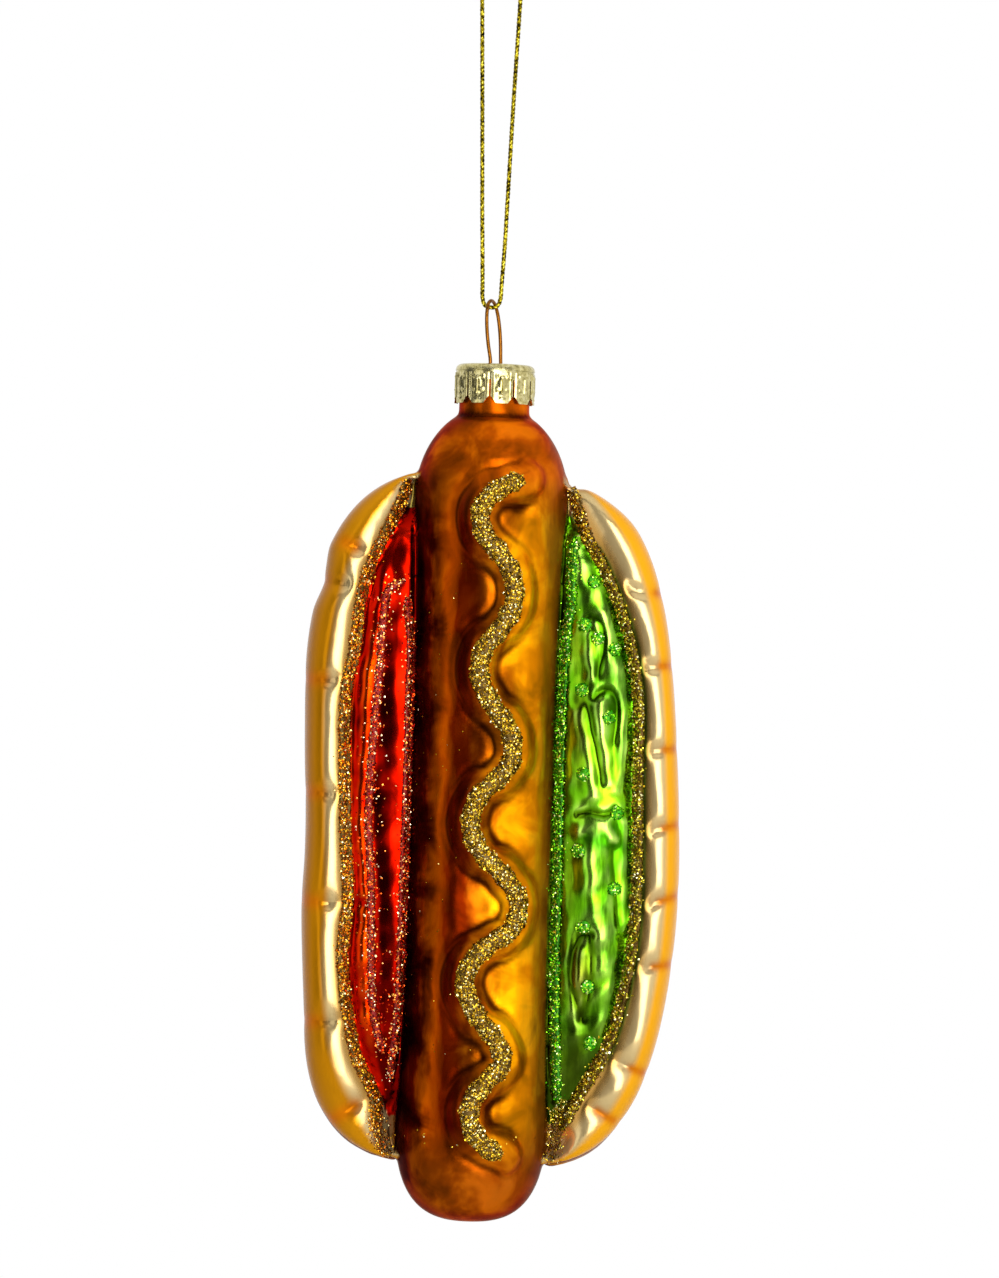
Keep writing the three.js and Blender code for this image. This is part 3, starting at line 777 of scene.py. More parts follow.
LEFT_CRIMPS = [
    ((-18.5, -28.6), (-22, -27.4)), ((-21.5, -33.7), (-29, -32.6)), ((-20.5, -48), (-29, -48.2)),
    ((-20.5, -65.2), (-29, -64.8)), ((-20.5, -81.4), (-29, -81)), ((-19.5, -98.8), (-29, -99.4)),
    ((-13.5, -109), (-22, -114.5)),
]
RIGHT_CRIMPS = [
    ((21, -33), (30, -34.4)), ((22, -44.8), (31, -44.2)), ((23, -57.4), (32, -56.4)),
    ((23.5, -69.6), (32, -67.4)), ((23, -81), (32, -77.8)), ((22, -89.8), (32, -88.6)),
    ((20, -103), (28, -106.4)), ((16, -109.5), (22, -113)),
]


def lip_share(x, z, side):
    """How far across a lip a place lies: 0 at the bun's outline, 1 at the bead along its rim."""
    heights = BUN_MIDDLE + (BUN_TOP - BUN_BOTTOM) / 2 * np.sin(np.linspace(-1.57, 1.57, 48))[::-1]
    edge, rim = (bun_left, left_rim) if side < 0 else (bun_right, right_rim)
    outer = away_from(x, z, np.column_stack([edge(heights), heights]))
    inner = away_from(x, z, np.column_stack([rim(heights), heights]))
    return np.where(side * (rim(z) - x) > 0, 1.0, outer / np.maximum(outer + inner, 1e-6))


def lip_relief(x, z, crimps, inward, middle, lean, bow):
    """A lip is a row of pillows. Each crimp pinches it, most on the middle of its top."""
    d = away_from_all(x, z, crimps)
    pinch = bell((inward - middle) / 0.28)
    notch = -0.85 * bell(d / 0.7) - 0.5 * bell(d / 2.3)
    heights = [LIP_TOP] + sorted((crimp[0][1] for crimp in crimps), reverse=True) + [LIP_BOTTOM]
    rolled = np.zeros(x.shape)
    for upper, lower in zip(heights, heights[1:]):
        down = np.clip((upper - z) / (upper - lower), 0, 1)
        within = (z <= upper) & (z > lower)
        rolled = np.where(within, np.sin(math.pi * down) * (2 * down - 1.0), rolled)
    return notch * pinch + (lean + bow * rolled) * np.sin(2 * math.pi * np.clip(inward, 0, 1))


# Lumps are (x, z, half width, half height, rise), and grooves and leaves are (line, half width,
# depth or rise).
KETCHUP_VALLEY = read_across([
    (0.47, -34.4), (0.52, -38.5), (0.5, -46), (0.54, -57), (0.6, -68), (0.57, -78), (0.5, -88),
    (0.48, -97), (0.35, -103.4)])
KETCHUP_GROOVES = [([(-19.6, -81.4), (-17, -81)], 0.8, 0.45)]
KETCHUP_LUMPS = [
    (-17.6, -47.5, 1.9, 3.4, 0.3), (-17.5, -59, 1.6, 3.6, 0.18), (-18, -70, 1.6, 4, 0.22),
    (-17.8, -88, 1.7, 3, 0.25), (-16.2, -99, 1.8, 2.6, 0.2), (-12.3, -44, 1.2, 2.4, 0.18),
    (-12.6, -54.5, 1.2, 2.6, 0.18), (-12, -66, 1.1, 2.6, 0.15), (-12.1, -75.5, 1.1, 2.2, 0.15),
    (-12.5, -84.5, 1.2, 2.6, 0.18), (-12, -95, 1.2, 2.8, 0.15),
]
LETTUCE_LEAVES = [
    ([(13.4, -27), (14.6, -31), (16, -35), (17.4, -39), (18.8, -43), (20, -46.5)], 2.8, 0.55),
    ([(15.2, -40), (15.3, -43), (15.9, -46)], 1.1, 0.4),
    ([(20.6, -47.8), (21.3, -51), (21.2, -55), (20.6, -59), (20, -63)], 1.4, 0.35),
    ([(17.4, -50.5), (17.6, -54), (18.4, -58), (19, -62)], 1.2, 0.45),
    ([(13.8, -52), (14.7, -56), (15.8, -60), (16.6, -64)], 1.1, 0.3),
    ([(15, -69.4), (16.8, -68.7), (18.6, -68.9), (19.7, -70.4)], 1.3, 0.45),
    ([(17, -70), (17, -74), (17.3, -78), (17.9, -82), (18.7, -86), (19.2, -90)], 2.0, 0.55),
    ([(21.6, -68), (21.9, -75), (22.2, -80), (22.3, -84)], 1.0, 0.35),
    ([(19.6, -89), (20.2, -93), (19.6, -97), (18.4, -101), (17, -105)], 1.7, 0.45),
    ([(15.5, -88), (15.5, -92)], 1.1, 0.3),
]
LETTUCE_GROOVES = [
    ([(14.3, -39.2), (15.2, -37.6), (16.5, -37.9), (17.3, -40), (17.3, -43), (16.6, -46.2)],
     0.5, 0.55),
    ([(16.5, -49.6), (17.4, -48.4), (18.7, -48.4), (19.6, -49.9), (19.8, -52.5), (19.4, -56)],
     0.5, 0.6),
    ([(15.3, -51), (16.2, -54.5), (16.9, -58), (17.5, -62)], 0.65, 0.5),
    ([(14.4, -67), (16.4, -66.5), (18.4, -66.9), (20, -66)], 0.5, 0.75),
    ([(19.7, -71.5), (19.9, -75), (20.5, -79), (20.9, -83)], 0.6, 0.5),
    ([(16.9, -84.8), (15.4, -84.8), (14.3, -87.5), (14.1, -91), (15, -95), (15.8, -97.5)],
     0.55, 0.5),
    ([(16.9, -85), (17.1, -89), (16.9, -93), (15.9, -97.5)], 0.6, 0.5),
]
LETTUCE_LUMPS = [
    (14, -30, 1.7, 2.4, 0.2), (17.6, -38.5, 1.9, 2.4, 0.25), (20, -45.5, 1.9, 2, 0.3),
    (17.8, -53, 1.4, 2.6, 0.2), (20.8, -57, 1.4, 3, 0.2), (18.3, -69.5, 1.8, 1.6, 0.25),
    (17.2, -76, 1.6, 3, 0.2), (18.6, -85, 1.8, 2.6, 0.2), (20.2, -92, 1.7, 2.6, 0.2),
    (13.6, -35, 1.4, 3, -0.2), (13.4, -48, 1.4, 3.4, -0.25), (13.6, -76, 1.7, 5, -0.3),
]
# Painted reflection: olive brown patches on the lettuce, where it mirrors the sausage.
SAUSAGE_REFLECTIONS = [
    (13.4, -41, 0.9, 4, 0.7), (14.2, -54.5, 1.2, 7, 0.9), (13.6, -76, 1.1, 7, 0.7),
    (15.5, -91, 1.9, 6, 1.0), (15.2, -104, 1.8, 5, 0.7),
]


def waver(x, z):
    """A slow unevenness, as anything carved by hand has."""
    first = np.sin(0.9 * x + 0.31 * z + 0.7) * np.sin(0.37 * z - 0.5 * x + 1.9)
    return 0.08 * (first + np.sin(0.83 * z + 0.4 * x) * np.sin(1.3 * x - 0.6 * z))


def lumps(x, z, places):
    return sum(rise * bell((x - lx) / wide, (z - lz) / tall) for lx, lz, wide, tall, rise in places)


def cuts(x, z, lines, power=1):
    return sum((rise * bell(away_from(x, z, smooth_line(line, 1.0)) / width)) ** power
               for line, width, rise in lines)


def over_ketchup(x, z):
    """The share of the way from the sausage's edge to the left lip."""
    return (-SAUSAGE - x) / np.maximum(-SAUSAGE - left_rim(z), 2)


def ketchup_relief(x, z):
    """A ridge on the left, a valley under the middle line, and a slope up to a second ridge."""
    reach = -SAUSAGE - left_rim(z)
    inward = over_ketchup(x, z)
    valley = KETCHUP_VALLEY(z)
    half = (reach + 2 * MOUND_OVERLAP) / 2
    share = np.minimum(np.abs(x + SAUSAGE - MOUND_OVERLAP + half) / half, 1)
    slope = mound(z, *KETCHUP) * (1 - arch(share, 2.4)) + 0.17 * reach * (valley - inward)
    slope = np.where(inward < valley, slope, 0) * smooth_step(-0.06, 0.14, inward)
    slope = slope * smooth_step(-22, -27, z) * smooth_step(-108, -103, z)
    ridge = 0.45 * bell((inward - valley - 0.15) * reach / 1.4)
    begun = smooth_step(-30, -36, z) * smooth_step(-108, -103, z)
    relief = slope + ridge * begun + waver(x, z) + 0.3 * begun * bell((inward - 0.885) / 0.05)
    return relief + lumps(x, z, KETCHUP_LUMPS) - cuts(x, z, KETCHUP_GROOVES)


def lettuce_relief(x, z):
    """Broad leaves that melt into each other, parted by narrow grooves."""
    relief = cuts(x, z, LETTUCE_LEAVES, 4) ** 0.25 + waver(x, z)
    return relief + lumps(x, z, LETTUCE_LUMPS) - 0.45 * cuts(x, z, LETTUCE_GROOVES) - 0.2


# %% [markdown]
# To engrave or paint one form, the skin has to know which of them lies in front at a place.
# That is the one whose rule reaches furthest out there.

# %% Where each form lies
NOWHERE = -50.0
SOFT_EDGE = 0.35


def front_of(form, x, z):
    """How far a form's front stands out at a place, or nothing beyond its edges."""
    _, _, left, right, front, _, fullness = FORMS[form]
    share = (2 * x - left(z) - right(z)) / np.maximum(right(z) - left(z), 1e-6)
    inside = (np.abs(share) < 1) & (front(z) > 0)
    return np.where(inside, front(z) * arch(share, fullness) - PARTING, NOWHERE)


def regions(x, y, z):
    """Shares of sausage, bun, ketchup and lettuce at places on the skin."""
    s = sausage_radius(z)
    depths = {
        "sausage": np.where(np.abs(x) < s, np.sqrt(np.maximum(s * s - x * x, 0)), NOWHERE),
        "bun": np.maximum(front_of("left_lip", x, z), front_of("right_lip", x, z)),
        "ketchup": np.where(z > -22, NOWHERE, front_of("ketchup", x, z)),
        "lettuce": front_of("lettuce", x, z),
    }
    back = smooth_step(-0.5, 0.8, y)
    loaf_back = (z < BUN_TOP) & (z > BUN_BOTTOM) & (np.hypot(x, y) > s + 0.35)
    behind = {"bun": loaf_back * back, "sausage": ~loaf_back * back}
    shares = {}
    for name, own in depths.items():
        rest = np.max([d for other, d in depths.items() if other != name], axis=0)
        in_front = np.clip((own - rest) / SOFT_EDGE / 2 + 0.5, 0, 1)
        shares[name] = in_front * (1 - back) + behind.get(name, 0)
    total = sum(shares.values()) + 1e-6
    return {name: value / total for name, value in shares.items()}


# %% [markdown]
# The mould is a hand's work, so its outline isn't the even curve of the rules: it has a notch on
# the left, is leaner at the lower left, and its right shoulder starts lower. Whole zones of the
# skin are pushed a little to follow it.

# %% Outline by hand
left_trim = read_across([
    (0, -28), (1.2, -33.6), (0.5, -38), (0.65, -55), (0.4, -74), (0.1, -82), (1.0, -95),
    (0.5, -103), (-0.3, -112), (-0.9, -118)])
p = points_of(glass)
x, y, z = p.T
bun_share = regions(x, y, z)["bun"]
p[:, 0] += left_trim(z) * bun_share * smooth_step(-0.55, -0.95, x / BUN_HALF)
p[:, 2] -= 1.1 * bun_share * smooth_step(-25, -18, z) * smooth_step(9, 13, x)
p[:, 2] -= 0.5 * bun_share * smooth_step(-112, -118, z)
put_points(glass, p)

# %% [markdown]
# The folds of the fillings are finer than anything on the bun, so their faces are divided once
# more before they are engraved, and the plain back is thinned after it.

# %% Finer fillings


def on_faces(piece, chosen, tool, **settings):
    """Uses a mesh tool on the chosen faces of a piece."""
    only(piece)
    bpy.ops.object.mode_set(mode="EDIT")
    bpy.ops.mesh.select_mode(type="FACE")
    bpy.ops.mesh.select_all(action="DESELECT")
    bpy.ops.object.mode_set(mode="OBJECT")
    piece.data.polygons.foreach_set("select", chosen)
    bpy.ops.object.mode_set(mode="EDIT")
    tool(**settings)
    bpy.ops.object.mode_set(mode="OBJECT")


share_of = regions(*rows_of(glass.data.polygons, "center").T)
fillings = share_of["ketchup"] + share_of["lettuce"] > 0.3
on_faces(glass, fillings, bpy.ops.mesh.subdivide, number_cuts=1)

# %% [markdown]
# Now each point moves along its normal by the sum of its forms' reliefs.

# %% Engraving
p, n = points_of(glass), rows_of(glass.data.vertices, "normal")
x, y, z = p.T
share_of = regions(x, y, z)
facing = smooth_step(0.15, -0.35, n[:, 1])
sideways = smooth_step(6, 1, y)
move = share_of["sausage"] * sausage_relief(x, z) * facing
from_left, from_right = lip_share(x, z, -1), lip_share(x, z, 1)
left_lean = 0.14 + 0.14 * bell((z + 90) / 12)
right_lean = 0.42 - 0.22 * bell((z + 89) / 8)
move += share_of["bun"] * sideways * np.where(
    x < 0, lip_relief(x, z, LEFT_CRIMPS, from_left, 0.55, left_lean, 0.14),
    lip_relief(x, z, RIGHT_CRIMPS, from_right, 0.45, right_lean, 0.26))
move += share_of["ketchup"] * facing * ketchup_relief(x, z)
move += share_of["lettuce"] * facing * lettuce_relief(x, z)
in_bore = (z > -BORE_DEPTH) & (np.hypot(x, y) <= NECK - GLASS_WALL + 0.3)
move *= np.where(in_bore, 0, 1)
put_points(glass, p + n * move[:, None])
whole(glass, bpy.ops.mesh.vertices_smooth, factor=0.5, repeat=2)
plain_back = rows_of(glass.data.polygons, "center")[:, 1] > 3
on_faces(glass, plain_back, bpy.ops.mesh.decimate, ratio=0.3)
bpy.ops.object.shade_smooth()
print("deepest and highest engraving", round(move.min(), 2), round(move.max(), 2), "mm")

# %% [markdown]
# The painter's regions are kept on the mesh as attributes, so that one lacquer material knows at
# each point which colour was sprayed there. On the bun, toast is the browned outside and scorch the
# brown dabs in its crimps. The side of the lips that faces the fillings is painted darker as
# painted shade, and a dark green band along the right rim is green overspray darkened as painted
# shade.
# Ridges get a paler colour, for lacquer that is thin there and as a painted highlight, and hollows,
# grooves and the places beside the seams are darkened, for lacquer that pools there and as painted
# shade. The olive brown between leaves is a painted reflection of the sausage, and opaque is where
# paint hides the silver.

# %% Regions as attributes


def keep_attribute(piece, name, values):
    made = piece.data.attributes.new(name, "FLOAT", "POINT")
    made.data.foreach_set("value", np.asarray(values, dtype=np.float32))


def hollowness(piece, passes):
    """Depth of each point under its surroundings, in mm, where lacquer pools and shade is painted.
    """
    ends = np.empty(len(piece.data.edges) * 2, dtype=np.int64)
    piece.data.edges.foreach_get("vertices", ends)
    a, b = ends.reshape(-1, 2).T
    own = points_of(piece)
    count = len(own)
    around_it = (np.bincount(a, minlength=count) + np.bincount(b, minlength=count))[:, None]
    level = own.copy()
    for _ in range(passes):
        total = np.column_stack([
            np.bincount(a, axis[b], count) + np.bincount(b, axis[a], count) for axis in level.T])
        level = 0.4 * level + 0.6 * total / np.maximum(around_it, 1)
    return ((level - own) * rows_of(piece.data.vertices, "normal")).sum(axis=1)


p = points_of(glass)
x, y, z = p.T
share_of = regions(x, y, z)
from_left, from_right = lip_share(x, z, -1), lip_share(x, z, 1)
toast = np.where(x < 0, smooth_step(0.67, 0.48, from_left), smooth_step(0.42, 0.26, from_right))
toast = np.maximum(toast, smooth_step(-3, 3, y))
# Painted shade: the side of the lips that faces the fillings is painted darker.
inner = np.where(x > 0, smooth_step(0.55, 0.8, from_right), smooth_step(0.68, 0.86, from_left))
inner *= smooth_step(-2, -6, y)
# Painted shade: a dark green band beside the right rim's bead, green overspray darkened as shade.
green_overspray_shade = bell((x - right_rim(z) - 1.05) / 0.5) * smooth_step(-25.5, -28, z)
green_overspray_shade = green_overspray_shade * smooth_step(-107, -102, z) * (y < -5)

POOL_PASSES = 14
sunk = hollowness(glass, POOL_PASSES)
print("deepest pool", round(float(sunk.max()), 2), "mm")
# Painted highlight: ridge tops get a paler colour, for thin lacquer and to light them; on the
# ketchup only its left ridge has it.
crest_highlight = np.where(x < 0, smooth_step(-14.5, -16, x) * smooth_step(-38, -42, z), 1)
crest_highlight = crest_highlight * smooth_step(0.0, 0.1, -sunk)
# Painted shade: hollows are darkened, partly for lacquer that pools in them, and so are the
# ketchup's dark middle, a band beside the lettuce seam and the lettuce's grooves.
pool_shade = smooth_step(0.03, 0.3, sunk) * (1 - 0.75 * share_of["bun"])
pool_shade *= 1 - 0.8 * share_of["sausage"] * smooth_step(6, 7.5, x) * (1 - bell((z + 58) / 14))
inward = over_ketchup(x, z)
shaded = smooth_step(0.16, 0.26, inward) * smooth_step(0.56, 0.44, inward)
shaded = shaded * smooth_step(-32, -38, z)
shaded = np.maximum(shaded, 0.8 * smooth_step(0.5, 0.4, inward) * smooth_step(-79, -84, z))
seam = bell((x - 12.05) / 0.5) * smooth_step(-40, -46, z) * smooth_step(-106, -100, z)
seam = np.maximum(seam, smooth_step(11.7, 11.2, x))
grooves = np.minimum(1.2 * cuts(x, z, LETTUCE_GROOVES), 0.9)
for more in (0.85 * shaded * share_of["ketchup"], seam * share_of["lettuce"],
             grooves * share_of["lettuce"]):
    pool_shade = np.maximum(pool_shade, more)

dabs = [(a * 0.55 + b * 0.45, a * 0.15 + b * 0.85) for a, b in np.array(LEFT_CRIMPS + RIGHT_CRIMPS)]
scorch = bell(away_from_all(x, z, dabs) / np.where(x < 0, 1.15, 0.7)) * smooth_step(4, 0, y)
covered = np.where(x < 0, 0.35 + 0.65 * smooth_step(0.58, 0.25, from_left), np.maximum(toast, 0.35))
covered = np.maximum(np.maximum(covered, smooth_step(-3, 0, y)), 0.8 * scorch) - 0.2 * inner
covered *= 1 - 0.35 * smooth_step(-1, 6, y)
edge = 0.22 + 0.35 * smooth_step(7.5, 9.2, x) * (1 - bell((z + 56) / 10))
for name, values in {
    **share_of, "toast": toast, "inner": inner * share_of["bun"], "green_overspray_shade": green_overspray_shade,
    "crest_highlight": crest_highlight, "pool_shade": pool_shade * (z < -2), "scorch": scorch,
    "sausage_reflection": np.clip(lumps(x, z, SAUSAGE_REFLECTIONS), 0, 1) * share_of["lettuce"],
    "opaque": covered * share_of["bun"] + edge * share_of["sausage"],
}.items():
    keep_attribute(glass, name, values)
seen = BVHTree.FromPolygons([tuple(v) for v in p], [tuple(f.vertices) for f in glass.data.polygons])


def front_at(x, z):
    """The glass's front and its normal at a place, found by looking from the front."""
    hit, normal, _, _ = seen.ray_cast(Vector((x, -60, z)), Vector((0, 1, 0)))
    if hit is None:
        return None, None
    return hit.y, normal


# %% [markdown]
# Silvered glass under lacquer is a metal to the eye: the silver inside mirrors the room, and the
# lacquer tints it. Satin lacquer on the sausage and the bun blurs the mirror, clear lacquer on
# ketchup and lettuce keeps it sharp. The sausage was sprayed in passes of thin brown over orange,
# so its colour is clouded. The clouds are about 6 mm across. Its colour also holds painted light:
# painted shade, dark on its left side and along its edges, and a painted orange glow on its right,
# where it faces the light.

# %% Lacquered glass
CLOUD, STREAK = 6 * MM, 2.2 * MM
SPRAY_WIDTH, BUN_WIDTH = 22 * MM, 52 * MM


def maths(tree, operation, *values):
    return node(tree, "Math", *values, operation=operation)


def mixed(tree, factor, first, second, blend="MIX"):
    """One colour over another. Colours are hex or sockets."""
    return node(tree, "Mix", factor, data_type="RGBA", blend_type=blend, out=2, _6=first, _7=second)


def attribute(tree, name):
    return node(tree, "Attribute", attribute_name=name, out="Fac")


def painted(tree, colour, *layers):
    """Sprays colours over one, each as far as its amount of an attribute says."""
    for name, amount, over in layers:
        colour = mixed(tree, maths(tree, "MULTIPLY", attribute(tree, name), amount), colour, over)
    return colour


def lacquered_glass():
    material, tree = new_material("lacquered_silvered_glass")
    where = node(tree, "TexCoord", out="Object")
    x, z = [node(tree, "SeparateXYZ", where, out=axis) for axis in "XZ"]
    clouds = node(tree, "TexNoise", where, Scale=1 / CLOUD, Detail=3.0, Roughness=0.55,
                  Distortion=0.4)
    upright = node(tree, "Mapping", where, Scale=(1.0, 1.0, 0.22))
    streaks = node(tree, "TexNoise", upright, Scale=1 / STREAK, Detail=3.0, Roughness=0.6)
    mottle = maths(tree, "ADD", maths(tree, "MULTIPLY_ADD", clouds, 0.26, -0.13),
                   maths(tree, "MULTIPLY_ADD", streaks, 0.16, -0.08))
    across = maths(tree, "ADD", maths(tree, "MULTIPLY_ADD", x, 1 / SPRAY_WIDTH, 0.46), mottle)
    top, tip, low = [
        node(tree, "MapRange", z, From_Min=start * MM, From_Max=end * MM)
        for start, end in ((-88, -80), (-177, -184), (-155, -170))
    ]

    # The sausage's body is sprayed from side to side, and its two ends are browned all round.
    # Across both, painted shade darkens the left side and the edges and a painted orange glow
    # lights the right.
    sprayed_light_and_shade = node(tree, "ValToRGB", across, stops=[
        (0.03, "#280200"), (0.12, "#5c1000"), (0.2, "#c05400"), (0.25, "#ac4a00"),
        (0.31, "#701c00"), (0.39, "#742200"), (0.47, "#964804"), (0.62, "#d87c06"),
        (0.7, "#ffa806"), (0.82, "#f8a204"), (0.89, "#cc8a08"), (0.97, "#86580a")])
    browned = node(tree, "ValToRGB", maths(tree, "ADD", across, mottle), stops=[
        (0.04, "#561e06"), (0.14, "#904602"), (0.34, "#a85202"), (0.5, "#c46004"),
        (0.66, "#d4680a"), (0.86, "#bc600e"), (1.0, "#7c3a0c")])
    browned = mixed(tree, maths(tree, "MULTIPLY", top, 0.35), browned, "#ff7c04")
    browned = mixed(tree, maths(tree, "MULTIPLY", tip, 0.2), browned, "#743c10")
    sausage = mixed(tree, maths(tree, "MAXIMUM", top, tip), sprayed_light_and_shade, browned)
    shade = node(tree, "ValToRGB", clouds, stops=[
        (0.33, "#583620"), (0.48, "#b89880"), (0.62, "#ffffff")])
    sausage = mixed(tree, 0.75, sausage, shade, "MULTIPLY")

    # Painted light and shade: the toast is darker on the bun's left side and brighter on its right.
    toast_shaded_left = node(tree, "ValToRGB", maths(tree, "MULTIPLY_ADD", x, 1 / BUN_WIDTH, 0.5), stops=[
        (0.0, "#b07206"), (1.0, "#dc9a16")])
    # The bun's lips are darkened on their inner sides as painted shade, and its right rim's band is
    # green overspray darkened as painted shade.
    bun = painted(tree, "#c8b07c", ("toast", 1.0, toast_shaded_left), ("inner", 0.8, "#a0701a"),
                  ("scorch", 1.0, "#c26c06"), ("green_overspray_shade", 1.0, "#263e06"))
    ketchup = node(tree, "ValToRGB", clouds, stops=[
        (0.3, "#7a0400"), (0.5, "#a40a00"), (0.7, "#c01402")])
    # Painted highlight: the ketchup's crests turn orange and the lettuce's pale yellow green.
    ketchup = painted(tree, ketchup, ("crest_highlight", 0.85, "#cc4000"))
    lettuce = node(tree, "ValToRGB", clouds, stops=[
        (0.3, "#3c8a06"), (0.5, "#6cba0e"), (0.72, "#94d61e")])
    # Painted reflection: the olive brown patches stand for the sausage mirrored in the lettuce.
    lettuce = painted(tree, lettuce, ("crest_highlight", 0.85, "#c4ee68"), ("sausage_reflection", 0.85, "#5c4e0c"))
    leafy = node(tree, "ValToRGB", streaks, stops=[(0.44, "#ffffff"), (0.6, "#486030")])
    lettuce = mixed(tree, 0.75, lettuce, leafy, "MULTIPLY")
    lettuce = mixed(tree, maths(tree, "MULTIPLY", low, 0.88), lettuce, "#2e3c08")
    colour = painted(tree, sausage, ("bun", 1.0, bun), ("ketchup", 1.0, ketchup),
                     ("lettuce", 1.0, lettuce))
    # Painted shade: the colour is darkened as far as the pool attribute says.
    pool_shade_colour = mixed(tree, 1.0, colour, "#584434", "MULTIPLY")
    colour = painted(tree, colour, ("pool_shade", 1.0, pool_shade_colour))

    clear = maths(tree, "ADD", attribute(tree, "ketchup"), attribute(tree, "lettuce"))
    satin = maths(tree, "MULTIPLY_ADD", attribute(tree, "bun"), -0.08, 0.29)
    rough = node(tree, "Mix", clear, _2=satin, _3=0.2)
    lift = node(tree, "Bump", Strength=0.25, Distance=0.0003, Height=clouds)
    metal = maths(tree, "MULTIPLY_ADD", attribute(tree, "opaque"), -0.96, 1.0)
    node(tree, "OutputMaterial", node(
        tree, "BsdfPrincipled", colour, Metallic=metal, Roughness=rough, Normal=lift,
        Specular_IOR_Level=0.03, Specular_Tint="#b98468"))
    return material


settle(glass, "ornament", lacquered_glass(), ["glass_body"])

# %% [markdown]
# Glitter is laid on by hand: a bead of glue is drawn along the line, and flakes are shaken over
# it. Each bead is a grid bent along its line and laid on the glass, with a rounded top. The flakes
# are real ones: six-sided, about 0.4 mm across and almost flat, thousands of them, each tipped its
# own way, which is what makes glitter flash. A noise texture could only imitate that.

# %% Glue beads
GLUE_STEP = 0.5
GLUE_FOOT = 0.12
rng = np.random.default_rng(20)


def glue_bead(name, line, half_width, height):
    """A bead of glue along (x, z) points, laid on the glass."""
    steps = smooth_line(line, GLUE_STEP)
    count = len(steps)
    nothing_selected()
    bpy.ops.mesh.primitive_grid_add(x_subdivisions=count - 1, y_subdivisions=10, size=2)
    bead = started(name)
    whole(bead, bpy.ops.mesh.extrude_region_move, TRANSFORM_OT_translate={"value": (0, 0, 1)})
    along = unit(np.gradient(steps, axis=0))
    place = np.arange(count)
    wander = 1 + 0.1 * np.sin(place * 0.9) + 0.06 * np.sin(place * 2.3 + 1)
    taper = np.minimum(1, np.sqrt((np.minimum(place, place[::-1]) + 0.3) / 3))
    placed = []
    for gx, gy, gz in points_of(bead):
        k = int(round((gx + 1) / 2 * (count - 1)))
        side = gy * half_width * wander[k] * taper[k]
        px, pz = steps[k, 0] - along[k, 1] * side, steps[k, 1] + along[k, 0] * side
        ground, _ = front_at(px, pz)
        rise = height * taper[k] * math.sqrt(max(0, 1 - gy * gy)) if gz > 0.5 else -GLUE_FOOT
        placed.append((px, (0 if ground is None else ground) - rise, pz))
    put_points(bead, placed)
    whole(bead, bpy.ops.mesh.normals_make_consistent, inside=False)
    bpy.ops.object.shade_smooth()
    return bead


def sticky_places(bead, tone, density):
    """Marks a bead as glue of a tone, and picks places and normals on it for the flakes."""
    count = len(bead.data.vertices)
    keep_attribute(bead, "chance", np.full(count, tone))
    keep_attribute(bead, "glue", np.ones(count))
    centres, normals = [rows_of(bead.data.polygons, what) for what in ("center", "normal")]
    areas = np.array([f.area for f in bead.data.polygons]) * (normals[:, 1] < 0.1)
    odds = areas / areas.sum()
    picked = rng.choice(len(centres), round(areas.sum() * density), p=odds)
    return centres[picked], normals[picked]


# %% [markdown]
# One flake is modelled. Its points are copied, turned and scaled for all the places at once.

# %% One flake, and its copies
FLAKE = 0.36
nothing_selected()
bpy.ops.mesh.primitive_cone_add(vertices=6, radius1=FLAKE / 2, depth=0.05, end_fill_type="TRIFAN")
flake = started("flake")
flake_points = points_of(flake)
flake_faces = np.array([tuple(f.vertices) for f in flake.data.polygons])
bpy.data.objects.remove(flake)


def stain(places):
    """How much red or green lacquer the flakes at places have taken: 1 is red, -1 is green."""
    x, _, z = places.T
    red = 0.75 + 0.3 * smooth_step(-21.5, -24, z) * smooth_step(-48, -43, z)
    amount = np.where(x < -12, red, 0) - np.where(x > 12, 0.6 * smooth_step(-24, -30, z), 0)
    return amount * rng.uniform(0.2, 1.5, len(x)).clip(0, 1)


def flakes(name, places, normals, tilt, size=1.0):
    """Copies of the flake at places, each tipped from its normal by about tilt degrees."""
    count = len(places)
    wobble = rng.normal(0, math.radians(tilt), (count, 3))
    facing = unit(normals + np.tan(np.clip(wobble, -1.1, 1.1)))
    side = unit(np.cross(facing, rng.normal(size=(count, 3))))
    up = np.cross(facing, side)
    sizes = size * rng.uniform(0.7, 1.15, count)
    local = flake_points[None] * sizes[:, None, None]
    points = (places[:, None] + local[..., 0:1] * side[:, None] + local[..., 1:2] * up[:, None]
              + local[..., 2:3] * facing[:, None])
    stride = len(flake_points)
    faces = (flake_faces[None] + stride * np.arange(count)[:, None, None]).reshape(-1, 3)
    mesh = bpy.data.meshes.new(name)
    mesh.from_pydata(points.reshape(-1, 3).tolist(), [], faces.tolist())
    made = linked(name, mesh)
    keep_attribute(made, "chance", np.repeat(rng.uniform(0, 1, count), stride))
    keep_attribute(made, "stain", np.repeat(stain(places), stride))
    return made


# %% [markdown]
# The flakes are polyester film with a metal coating. Seen together, some are mirrors that catch a
# lamp, most show their colour, and some lie in the shade of others, so each flake draws its tone
# by chance. The glue between them is clear and takes the colour of what it holds.

# %% Glitter materials


